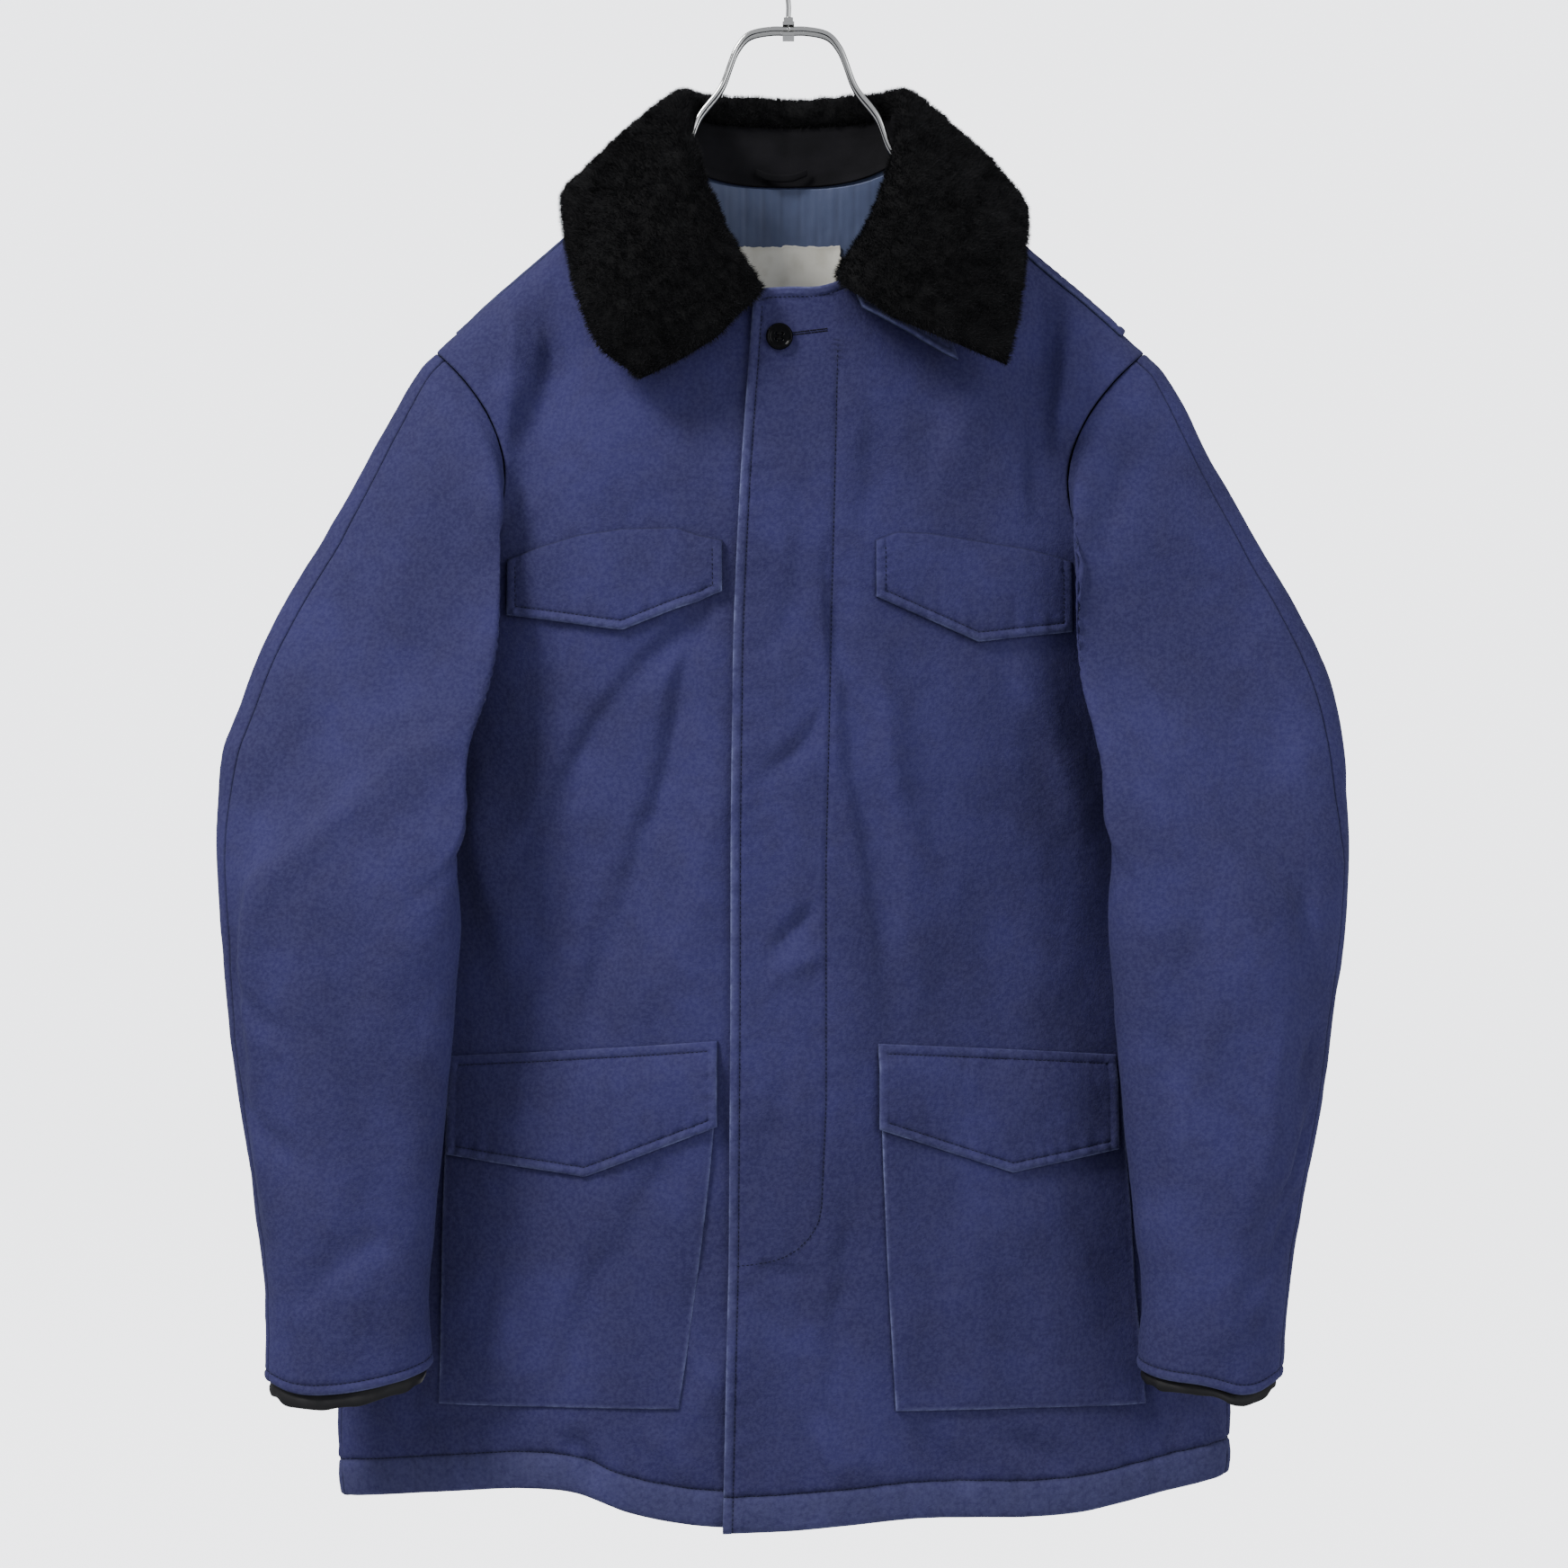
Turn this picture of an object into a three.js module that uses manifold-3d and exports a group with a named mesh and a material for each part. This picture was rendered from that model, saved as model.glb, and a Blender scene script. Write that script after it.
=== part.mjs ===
// A navy winter parka with a black pile collar, buttoned up and hanging on a chrome twin-wire hanger.
// Millimetres. +X is the wearer's left, +Y is towards the wearer's back, +Z is up.
// The origin is the point inside the hanger's hook that rests on a rod. A "drop" is a distance below it.
import * as THREE from "three";
import { mergeVertices } from "three/addons/utils/BufferGeometryUtils.js";
import Module from "manifold-3d";

const wasm = await Module();
wasm.setup();

// Driving dimensions
const SEAM_GAP = 0.3; // between pieces that are sewn together
const ON_CLOTH = 0.4; // how far a piece that lies on cloth is off it
const SHELL_WALL = 3; // outer cloth with its quilted lining
const FLAP_WALL = 2.4;
const PATCH_WALL = 1.8;
const LEAN = -3; // below its shoulders the coat hangs this far to one side of the hook
const LEAN_FROM_DROP = 268;
const LEAN_TO_DROP = 408;
const NECK_HALF_WIDTH = 84;
const NECK_DROP = 148; // the side of the neck, where the shoulder seam starts
const FRONT_NECK_DROP = 256;
const BACK_NECK_DROP = 165;
const FRONT_NECK_DEPTH = 58;
const BACK_NECK_DEPTH = 46;
const UNDERARM_DROP = 480;
const HEM_DROP = 1066;
const WIRE_RADIUS = 1.75;
const HOOK_RADIUS = 17.75; // to the middle of the wire
const FERRULE_RADIUS = 4;
const PILE = 9; // reach of the collar's pile from its cloth
const RING_STEP = 20; // degrees between points round the armhole and the sleeve
const ARMHOLE_ROWS = 180 / RING_STEP;
const BODY_ROWS = 13;
const FRONT_COLUMNS = 11;
const NECK_ROWS = 6; // rows that end on the neckline
const SIDE_SEAM_ANGLE = 8; // degrees in front of the side of the body

// Half of the body's section at each drop: half width, depth of the front and back from the side,
// how round the section is, and how far back the side is pushed by the sleeve.
const BODY = [
  { drop: 480, width: 263, front: 60, back: 44, round: 0.55, side: 14 },
  { drop: 600, width: 264, front: 62, back: 46, round: 0.55, side: 16 },
  { drop: 750, width: 269, front: 62, back: 50, round: 0.6, side: 15 },
  { drop: 900, width: 283, front: 63, back: 54, round: 0.68, side: 10 },
  { drop: 1066, width: 303, front: 66, back: 58, round: 0.8, side: 4 },
];

// How much lower than HEM_DROP each front's hem hangs, by distance from the centre.
const HEM_OF_RIGHT_FRONT = [
  { x: -40, lower: 12 },
  { x: 0, lower: 12 },
  { x: 86, lower: 5 },
  { x: 145, lower: -13 },
  { x: 205, lower: -12 },
  { x: 303, lower: -1 },
];
const HEM_OF_LEFT_FRONT = [
  { x: -40, lower: 13 },
  { x: 0, lower: 11 },
  { x: 90, lower: 4 },
  { x: 187, lower: 4 },
  { x: 250, lower: -7 },
  { x: 303, lower: -16 },
];
const HEM_OF_RIGHT_BACK = [
  { x: 0, lower: 4 },
  { x: 150, lower: 2 },
  { x: 303, lower: -1 },
];
const HEM_OF_LEFT_BACK = [
  { x: 0, lower: 4 },
  { x: 150, lower: -2 },
  { x: 303, lower: -16 },
];

// The sleeves' outlines seen from the front, by drop: the outer side of each, and the inner side.
const SLEEVE_OUTLINE = [
  { drop: 286, right: 240, left: 243, inner: 186 },
  { drop: 298, right: 252, left: 257, inner: 186 },
  { drop: 340, right: 275, left: 281, inner: 186 },
  { drop: 377, right: 294, left: 302, inner: 187 },
  { drop: 414, right: 313, left: 322, inner: 189 },
  { drop: 450, right: 336, left: 343, inner: 191 },
  { drop: 487, right: 355, left: 361, inner: 195 },
  { drop: 524, right: 369, left: 373, inner: 200 },
  { drop: 560, right: 380, left: 379, inner: 205 },
  { drop: 597, right: 383, left: 380, inner: 208 },
  { drop: 633, right: 382, left: 380, inner: 210 },
  { drop: 706, right: 375, left: 373, inner: 216 },
  { drop: 778, right: 366, left: 362, inner: 222 },
  { drop: 849, right: 354, left: 346, inner: 230 },
  { drop: 885, right: 348, left: 338, inner: 233 },
  { drop: 921, right: 345, left: 334, inner: 235 },
  { drop: 980, right: 344, left: 329, inner: 235 },
];

// Rings of a sleeve from the armhole to its end. outY, outDrop, inX, inY and inDrop place the ring's
// outer and inner points, front and back are its half depths, frontBow and backBow how far it bows
// towards the body, and lean how much of its back half is drawn to the outer side.
const SLEEVE = [
  [0, 0, 286, 258, 4, 478, 38, 36, 60, 40, 0],
  [1, -1, 306, 267, 2, 483, 50, 36, 72, 20, 0.1],
  [2, -4, 343, 271, -4, 494, 52, 36, 85, 5, 0.2],
  [3, -8, 393, 267, -14, 516, 50, 38, 94, 0, 0.2],
  [4, -14, 451, 254, -32, 548, 42, 38, 96, 0, 0.2],
  [5, -22, 510, 234, -54, 586, 38, 38, 76, 0, 0.2],
  [6, -32, 568, 219, -68, 626, 38, 40, 60, 0, 0.1],
  [7, -42, 630, 214, -74, 670, 40, 42, 8, 0, 0],
  [8, -50, 690, 217, -74, 714, 40, 42, 0, 0, 0],
  [9, -56, 750, 220, -74, 760, 39, 41, 0, 0, 0],
  [10, -60, 808, 225, -74, 810, 38, 39, 0, 0, 0],
  [11, -64, 862, 231, -74, 860, 37, 37, 0, 0, 0],
  [12, -68, 918, 235, -74, 911, 36, 35, 0, 0, 0],
  [13, -70, 974, 235, -74, 962, 35, 34, 0, 0, 0],
].map(([v, outY, outDrop, inX, inY, inDrop,
  front, back, frontBow, backBow, lean]) => {
  return { v, outY, outDrop, inX, inY, inDrop, front, back, frontBow, backBow, lean };
});
const SLEEVE_ROWS = SLEEVE.length - 1;
const UPPER_SLEEVE_FROM = RING_STEP; // the seam down the back of the arm
const CUFF_REACH = 10; // how far the black cuff shows below the sleeve
const CUFF_WALL = 2;
const CUFF_HEIGHT = 40;

// The collar's stations round the neck, by angle from the side of the neck: positive to the front.
// roll is its top fold, fall a point on the outer leaf and edge its outer edge, each as x, y and drop.
function station(angle, roll, fall, edge) {
  const [rollX, rollY, rollDrop] = roll;
  const [fallX, fallY, fallDrop] = fall;
  const [edgeX, edgeY, edgeDrop] = edge;
  return { angle, rollX, rollY, rollDrop, fallX, fallY, fallDrop, edgeX, edgeY, edgeDrop };
}
const COLLAR_RIGHT = [
  station(-90, [0, 58, 120], [0, 76, 142], [0, 76, 206]),
  station(-45, [56, 44, 116], [80, 60, 142], [120, 64, 193]),
  station(0, [73, 4, 119], [103, 6, 145], [147, 6, 187]),
  station(30, [66, -34, 158], [104, -52, 198], [142, -54, 244]),
  station(54, [48, -58, 208], [86, -72, 246], [126, -68, 286]),
  station(76, [27, -68, 246], [64, -78, 275], [104, -72, 305]),
];
const COLLAR_LEFT = [
  station(-90, [0, 58, 120], [0, 76, 142], [0, 76, 206]),
  station(-45, [58, 44, 114], [84, 60, 142], [124, 64, 198]),
  station(0, [79, 4, 119], [112, 6, 147], [156, 6, 199]),
  station(25, [75, -32, 158], [116, -52, 192], [155, -54, 238]),
  station(45, [60, -56, 204], [104, -78, 236], [151, -74, 270]),
  station(65, [42, -66, 236], [88, -86, 262], [146, -80, 291]),
];
const COLLAR_STATIONS = 10; // on each side

// Folds that show in the fronts: a soft trough (or a ridge, where depth is negative) from one point
// to another, by distance from the centre and drop.
const FOLDS_OF_RIGHT_FRONT = [
  { fromX: 152, fromDrop: 262, toX: 170, toDrop: 400, width: 24, depth: 7 },
  { fromX: 90, fromDrop: 520, toX: 170, toDrop: 700, width: 30, depth: 5 },
];
const FOLDS_OF_LEFT_FRONT = [
  { fromX: 160, fromDrop: 262, toX: 176, toDrop: 400, width: 24, depth: 7 },
  { fromX: 150, fromDrop: 560, toX: 140, toDrop: 740, width: 30, depth: 4 },
];

// Flaps and pockets on the fronts, by distance from the centre to the side: drops of their top and
// bottom edges.
const CHEST_FLAP_RIGHT = [
  { x: 41, top: 417, bottom: 451 },
  { x: 56, top: 414, bottom: 457 },
  { x: 72, top: 408.5, bottom: 463 },
  { x: 108, top: 409, bottom: 477 },
  { x: 137, top: 413, bottom: 473 },
  { x: 164, top: 421, bottom: 469 },
  { x: 186, top: 429, bottom: 466 },
];
const CHEST_FLAP_LEFT = [
  { x: 61, top: 417, bottom: 455 },
  { x: 75, top: 411.5, bottom: 461 },
  { x: 96, top: 412, bottom: 470 },
  { x: 130, top: 417, bottom: 485 },
  { x: 163, top: 422, bottom: 481 },
  { x: 180, top: 426, bottom: 479 },
  { x: 194, top: 430, bottom: 477 },
];
const POCKET_FLAP_RIGHT = [
  { x: 44, top: 751, bottom: 808 },
  { x: 132, top: 757.5, bottom: 843 },
  { x: 226, top: 764, bottom: 831 },
];
const POCKET_FLAP_LEFT = [
  { x: 62, top: 753, bottom: 810 },
  { x: 152, top: 758, bottom: 841 },
  { x: 224, top: 763, bottom: 827 },
];
const POCKET_RIGHT = {
  topDrop: 785,
  bottomDrop: 997,
  innerTop: 45,
  innerBottom: 70,
  outerTop: 228,
  outerBottom: 232,
};
const POCKET_LEFT = {
  topDrop: 785,
  bottomDrop: 998,
  innerTop: 64,
  innerBottom: 74,
  outerTop: 228,
  outerBottom: 243,
};
const FLAP_COLUMNS = 12;

// The front edge of each front, by drop. The left front laps over the right one.
const EDGE_OF_RIGHT_FRONT = { top: 24, bottom: 18 }; // past the centre, under the left front
const EDGE_OF_LEFT_FRONT = { top: 23, bottom: 41 };
const LAP_FORWARD = 2.2; // the lapping front lies this far in front of the other
const LAP_FROM = 95; // from the centre: the left front starts to come forward here
const LAP_TO = 48; // and lies in front of the right one from here to its edge
const LAP_TOP_FROM = 226; // the same by drop, at the neck
const LAP_TOP_TO = 254;

const SEAM_MARGIN = 0.12;
const ARMHOLE_GAP = 0.8; // of a sleeve at its armhole
const UNDERARM_OUT = 0.6; // turns the cut at the bottom of the armhole outwards
const CLEAR_OF_BACK = { out: 0.3, forward: 0.4 };
const CUFF_INSET = 1;
const FLAP_LIFT = 1.1;
const CHEST_FLAP_LIFT = 1.4;
const FLAP_ROWS = 4;
const POCKET_CELLS = 7;
const POCKET_BULGE = 2;
const POCKET_LIFT = 0.7;
const POCKET_SLANT = 1.3; // how late a pocket's inner edge swings away from the front edge
const COLLAR_WALL = 1.8;
const COLLAR_INSET = 3; // the collar's band stands inside the neckline
const COLLAR_RISE = 3;
const COLLAR_SHARES = [0, 0.11, 0.22, 0.25, 0.35, 0.47, 0.6, 0.8, 1]; // rows from the neck to the edge
const STAND_ROWS = 3; // the first of them carry the black inner band, the others the pile
const PILE_OFF_CLOTH = 0.7;
const PILE_OVER_EDGE = 4;
const STRAP_FROM = 1; // in columns of the body's grid, from the armhole
const STRAP_TO = 8;
const STRAP_LIFT = 0.6;
const TAB_LIFT = 1.2;
const TAB = { fromX: 34, toX: 122, fromDrop: 262, toDrop: 296, height: 24 };
const LINING = { halfWidth: 70, bottomDrop: 335, wall: 1.2 };
const LABEL = { fromX: -38, toX: 37, topDrop: 208, bottomDrop: 272, wall: 1 };
const NECKLINE_TO_LINING = 3;
const BUTTON = { x: -6, drop: 282, radius: 9, lift: 0.5, holeRadius: 0.9, holeOffset: 1.7 };
// Half of the button's section, from its back to the dished front: how far in from its rim, and height.
const BUTTON_SECTION = [
  { inset: 9, height: 0 },
  { inset: 1.5, height: 0 },
  { inset: 0, height: 1 },
  { inset: 0, height: 2.6 },
  { inset: 0.8, height: 3.4 },
  { inset: 1.8, height: 3.4 },
  { inset: 2.8, height: 2.4 },
  { inset: 9, height: 2.4 },
];
const CLAMP = { width: 8, depth: 22, plate: 2.6, post: 9, ferrule: 4 };
const CLAMP_CLEARANCE = 0.5;
const HOOK_START_ANGLE = 215; // the hook's bend, by angle from its open side
const HOOK_END_ANGLE = -25;
const HOOK_ANGLE_STEP = 15;
const LOOP_LINE = [
  { x: -22, y: 38, drop: 157 },
  { x: -12, y: 35, drop: 161 },
  { x: 3, y: 35, drop: 161 },
  { x: 13, y: 38, drop: 157 },
];
// One strand of the hanger's wire, from the middle to the end of an arm.
const WIRE_LINE = [
  { x: 0, y: 8, drop: 66.5 },
  { x: 12, y: 8, drop: 66.5 },
  { x: 27, y: 8, drop: 70 },
  { x: 35, y: 8, drop: 79 },
  { x: 46, y: 8, drop: 106 },
  { x: 61, y: 8, drop: 126 },
  { x: 69, y: 8, drop: 146 },
  { x: 80, y: 8, drop: 161 },
  { x: 110, y: 8, drop: 188 },
  { x: 160, y: 8, drop: 233 },
  { x: 204, y: 8, drop: 274 },
  { x: 212, y: 4, drop: 281 },
];

const COLOURS = {
  shell: { color: 0x2e3358, roughness: 0.9, metalness: 0 },
  pile: { color: 0x0c0c0d, roughness: 1, metalness: 0 },
  blackCloth: { color: 0x141416, roughness: 0.8, metalness: 0 },
  lining: { color: 0x2b3450, roughness: 0.55, metalness: 0 },
  label: { color: 0xd8d8d0, roughness: 0.8, metalness: 0 },
  chrome: { color: 0xc8c8c8, roughness: 0.2, metalness: 1 },
  button: { color: 0x0d0e14, roughness: 0.3, metalness: 0 },
};

// How finely the forms are worked out
const MERGE_DISTANCE = 1e-3;
const HALVINGS = 30;
const MOST_PAST_CENTRE = 0.6;
const SMOOTHING_PASSES = 3;
const SEARCH_PASSES = 40;
const SEARCH_STEP = 0.05;
const SEARCH_LIMIT = 1.5;
const WIRE_SIDES = 8;
const WIRE_STEPS = 72;
const HOOK_STEPS = 30;

const radians = THREE.MathUtils.degToRad;
const lerp = THREE.MathUtils.lerp;
const clamp = THREE.MathUtils.clamp;
const smoothstep = THREE.MathUtils.smoothstep;

// Reads a table between its rows, along a smooth curve through each column.
function read(table, key, at) {
  const last = table.length - 1;
  let i = 0;
  while (i < last - 1 && at > table[i + 1][key]) i++;
  const span = table[i + 1][key] - table[i][key];
  const t = clamp((at - table[i][key]) / span, 0, 1);
  const slope = (j, column) => {
    const a = Math.max(0, j - 1);
    const b = Math.min(last, j + 1);
    return (table[b][column] - table[a][column]) / (table[b][key] - table[a][key]);
  };
  const row = {};
  for (const column of Object.keys(table[0])) {
    const p = table[i][column];
    const q = table[i + 1][column];
    const a = slope(i, column) * span;
    const b = slope(i + 1, column) * span;
    row[column] =
      p + t * a + t * t * (3 * (q - p) - 2 * a - b) + t * t * t * (2 * (p - q) + a + b);
  }
  return row;
}

// The armhole and the sleeve, for the side of the wearer's right (side -1) or left (side 1).
function sleevePoint(side, angle, v) {
  const ring = read(SLEEVE, "v", v);
  const c = Math.cos(radians(angle));
  const s = Math.sin(radians(angle));
  const bow = s > 0 ? ring.frontBow : ring.backBow;
  const outline = read(SLEEVE_OUTLINE, "drop", ring.outDrop);
  const outX = side < 0 ? outline.right : outline.left;
  const x = (outX + ring.inX) / 2 + ((outX - ring.inX) / 2) * c - bow * s * s;
  const depth = s > 0 ? -ring.front * s : -ring.back * s * (1 - (ring.lean * (1 - c)) / 2);
  const y = (ring.outY + ring.inY) / 2 + ((ring.outY - ring.inY) / 2) * c + depth;
  const drop = (ring.outDrop + ring.inDrop) / 2 + ((ring.outDrop - ring.inDrop) / 2) * c;
  return new THREE.Vector3(side * x, y, -drop);
}

// The neckline, by angle from the side of the neck: 90 is the centre front, -90 the centre back.
function necklinePoint(side, angle) {
  const c = Math.cos(radians(angle));
  const s = Math.sin(radians(angle));
  const depth = s > 0 ? FRONT_NECK_DEPTH : BACK_NECK_DEPTH;
  const centreDrop = s > 0 ? FRONT_NECK_DROP : BACK_NECK_DROP;
  const drop = NECK_DROP + (centreDrop - NECK_DROP) * (1 - c ** 3);
  return new THREE.Vector3(side * NECK_HALF_WIDTH * c, -depth * s, -drop);
}

// The share of the way across and forward that the body's section has come, at an angle from its side.
function sectionShares(angle, round) {
  const forward = (a) => round * Math.sin(a) + (1 - round) * Math.sin(a) ** 3;
  const start = radians(SIDE_SEAM_ANGLE);
  const at = radians(angle);
  const end = angle < SIDE_SEAM_ANGLE ? -1 : 1;
  return {
    across: (Math.cos(start) - Math.cos(at)) / Math.cos(start),
    forward: (forward(at) - forward(start)) / (end - forward(start)),
  };
}

// One half of the front (facing 1) or back (facing -1), as rows from the shoulder seam to the hem.
// Each row runs from the armhole or side seam to the neckline or centre.
function bodyGrid(side, facing, hem, folds, edge, forward) {
  const rows = [];
  const end = facing > 0 ? 90 : -90;
  for (let j = 0; j <= ARMHOLE_ROWS + BODY_ROWS; j++) {
    const upper = j <= ARMHOLE_ROWS;
    const drop = upper
      ? UNDERARM_DROP
      : lerp(UNDERARM_DROP, HEM_DROP, (j - ARMHOLE_ROWS) / BODY_ROWS);
    const body = read(BODY, "drop", drop);
    const depth = facing > 0 ? -body.front : body.back;
    const start = radians(SIDE_SEAM_ANGLE);
    const startForward = body.round * Math.sin(start) + (1 - body.round) * Math.sin(start) ** 3;
    const outer = upper
      ? sleevePoint(side, facing * RING_STEP * j, 0)
      : new THREE.Vector3(
          side * body.width * Math.cos(start),
          body.side - (body.side + body.front) * startForward,
          -drop,
        );
    // The row's end on the neckline, or its middle point on the centre line.
    let inner;
    let past = 0;
    if (j <= NECK_ROWS) {
      inner = necklinePoint(side, (end * j) / NECK_ROWS);
    } else {
      const neckDrop = facing > 0 ? FRONT_NECK_DROP : BACK_NECK_DROP;
      const firstRow = edge ? NECK_ROWS + 1 : NECK_ROWS;
      const innerDrop = upper
        ? lerp(neckDrop, UNDERARM_DROP, (j - firstRow) / (ARMHOLE_ROWS - firstRow))
        : drop;
      const share = (innerDrop - neckDrop) / (HEM_DROP - neckDrop);
      past = edge ? lerp(edge.top, edge.bottom, share) : 0;
      const neckDepth = facing > 0 ? -FRONT_NECK_DEPTH : BACK_NECK_DEPTH;
      const eased = smoothstep(innerDrop, neckDrop, UNDERARM_DROP);
      inner = new THREE.Vector3(0, lerp(neckDepth, depth, eased), -innerDrop);
    }
    // The section is as round as the body at the underarm, and straight at the shoulder.
    const roundness = upper ? smoothstep(j / ARMHOLE_ROWS, 0, 1) : 1;
    const at = (u) => {
      const shares = sectionShares(lerp(SIDE_SEAM_ANGLE, end, u), body.round);
      const across = lerp(u, shares.across, roundness);
      const ahead = lerp(u, shares.forward, roundness);
      return new THREE.Vector3(
        lerp(outer.x, inner.x, across),
        lerp(outer.y, inner.y, ahead),
        lerp(outer.z, inner.z, across),
      );
    };
    // Past the centre a front mirrors its own section, as far as its edge.
    let low = 0;
    let high = past > 0 ? MOST_PAST_CENTRE : 0;
    for (let pass = 0; pass < HALVINGS; pass++) {
      const middle = (low + high) / 2;
      if (side * at(1 - middle).x < past) low = middle;
      else high = middle;
    }
    const row = [];
    for (let i = 0; i <= FRONT_COLUMNS; i++) {
      const u = (i / FRONT_COLUMNS) * (1 + low);
      const p = at(Math.min(u, 2 - u));
      if (u > 1) p.x = -p.x;
      row.push(p);
    }
    rows.push(row);
  }
  relaxDepth(rows);
  for (let j = 0; j < rows.length; j++) {
    for (const p of rows[j]) {
      const fromCentre = side * p.x;
      const share = smoothstep(-p.z, UNDERARM_DROP, HEM_DROP);
      p.z -= read(hem, "x", fromCentre).lower * share;
      p.y -= facing * (forward - foldDepth(folds, fromCentre, -p.z));
    }
  }
  return rows;
}

// Evens out the depth of a grid's inner points, so that no crease is left where its rows change.
function relaxDepth(rows) {
  for (let pass = 0; pass < SMOOTHING_PASSES; pass++) {
    const depths = rows.map((row) => row.map((p) => p.y));
    for (let j = 1; j < rows.length - 1; j++) {
      for (let i = 1; i < rows[j].length - 1; i++) {
        const around = depths[j - 1][i] + depths[j + 1][i] + depths[j][i - 1] + depths[j][i + 1];
        rows[j][i].y = lerp(depths[j][i], around / 4, 0.5);
      }
    }
  }
}

function foldDepth(folds, x, drop) {
  let depth = 0;
  for (const fold of folds) {
    const dx = fold.toX - fold.fromX;
    const dz = fold.toDrop - fold.fromDrop;
    const length = Math.hypot(dx, dz);
    const along = ((x - fold.fromX) * dx + (drop - fold.fromDrop) * dz) / length;
    const off = ((x - fold.fromX) * dz - (drop - fold.fromDrop) * dx) / length;
    const fade = smoothstep(along, -0.25 * length, 0.3 * length) *
      (1 - smoothstep(along, 0.7 * length, 1.25 * length));
    depth += fold.depth * fade * Math.exp(-((off / fold.width) ** 2));
  }
  return depth;
}

// The outward direction at each point of a grid, from the points around it.
function gridNormals(grid, flip) {
  const rows = grid.length;
  const columns = grid[0].length;
  return grid.map((row, j) =>
    row.map((p, i) => {
      const a = grid[Math.max(0, j - 1)][i];
      const b = grid[Math.min(rows - 1, j + 1)][i];
      const c = grid[j][Math.max(0, i - 1)];
      const d = grid[j][Math.min(columns - 1, i + 1)];
      const n = new THREE.Vector3().subVectors(d, c).cross(new THREE.Vector3().subVectors(b, a));
      return n.normalize().multiplyScalar(flip);
    }),
  );
}

// A wall through a grid of points, from one distance to another along its outward directions.
// A distance may differ from point to point. skip leaves out the side faces at the row end, where
// another wall's points join on, and turned splits those at the row start along their other diagonal.
const never = () => false;
function wallGeometry(grid, normals, from, to, flip, skip = never, turned = never) {
  const points = [];
  const faces = [];
  const rows = grid.length;
  const columns = grid[0].length;
  const index = (layer, j, i) => (layer * rows + j) * columns + i;
  for (const distance of [to, from]) {
    for (let j = 0; j < rows; j++) {
      for (let i = 0; i < columns; i++) {
        const reach = typeof distance === "function" ? distance(j, i) : distance;
        const p = grid[j][i].clone().addScaledVector(normals[j][i], reach);
        points.push(p.x, p.y, p.z);
      }
    }
  }
  const quad = (a, b, c, d) => {
    if (flip > 0) faces.push(a, b, c, a, c, d);
    else faces.push(a, c, b, a, d, c);
  };
  for (let j = 0; j < rows - 1; j++) {
    for (let i = 0; i < columns - 1; i++) {
      quad(index(0, j, i), index(0, j, i + 1), index(0, j + 1, i + 1), index(0, j + 1, i));
      quad(index(1, j, i), index(1, j + 1, i), index(1, j + 1, i + 1), index(1, j, i + 1));
    }
  }
  const last = rows - 1;
  const end = columns - 1;
  for (let i = 0; i < end; i++) {
    quad(index(0, 0, i), index(1, 0, i), index(1, 0, i + 1), index(0, 0, i + 1));
    quad(index(0, last, i), index(0, last, i + 1), index(1, last, i + 1), index(1, last, i));
  }
  for (let j = 0; j < last; j++) {
    const corners = [index(0, j, 0), index(0, j + 1, 0), index(1, j + 1, 0), index(1, j, 0)];
    if (turned(j)) corners.push(corners.shift());
    quad(...corners);
    if (skip(j)) continue;
    quad(index(0, j, end), index(1, j, end), index(1, j + 1, end), index(0, j + 1, end));
  }
  return { points, faces };
}

function geometryOf(...walls) {
  const points = [];
  const faces = [];
  for (const wall of walls) {
    const first = points.length / 3;
    points.push(...wall.points);
    faces.push(...wall.faces.map((f) => f + first));
  }
  const geometry = new THREE.BufferGeometry();
  geometry.setAttribute("position", new THREE.Float32BufferAttribute(points, 3));
  geometry.setIndex(faces);
  return mergeVertices(geometry, MERGE_DISTANCE);
}

const leanAt = (drop) => LEAN * smoothstep(drop, LEAN_FROM_DROP, LEAN_TO_DROP);
function lean(geometry) {
  const at = geometry.attributes.position;
  for (let i = 0; i < at.count; i++) at.setX(i, at.getX(i) + leanAt(-at.getZ(i)));
}

function mesh(name, geometry, colour) {
  const made = new THREE.Mesh(geometry, new THREE.MeshStandardMaterial(COLOURS[colour]));
  made.name = name;
  return made;
}

// A point of a grid between its own points, with the outward direction there.
function between(grid, normals, row, column) {
  const j = clamp(Math.floor(row), 0, grid.length - 2);
  const i = clamp(Math.floor(column), 0, grid[0].length - 2);
  const s = row - j;
  const t = column - i;
  const mix = (g) =>
    new THREE.Vector3()
      .addScaledVector(g[j][i], (1 - s) * (1 - t))
      .addScaledVector(g[j][i + 1], (1 - s) * t)
      .addScaledVector(g[j + 1][i], s * (1 - t))
      .addScaledVector(g[j + 1][i + 1], s * t);
  return { point: mix(grid), normal: mix(normals).normalize() };
}

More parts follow.
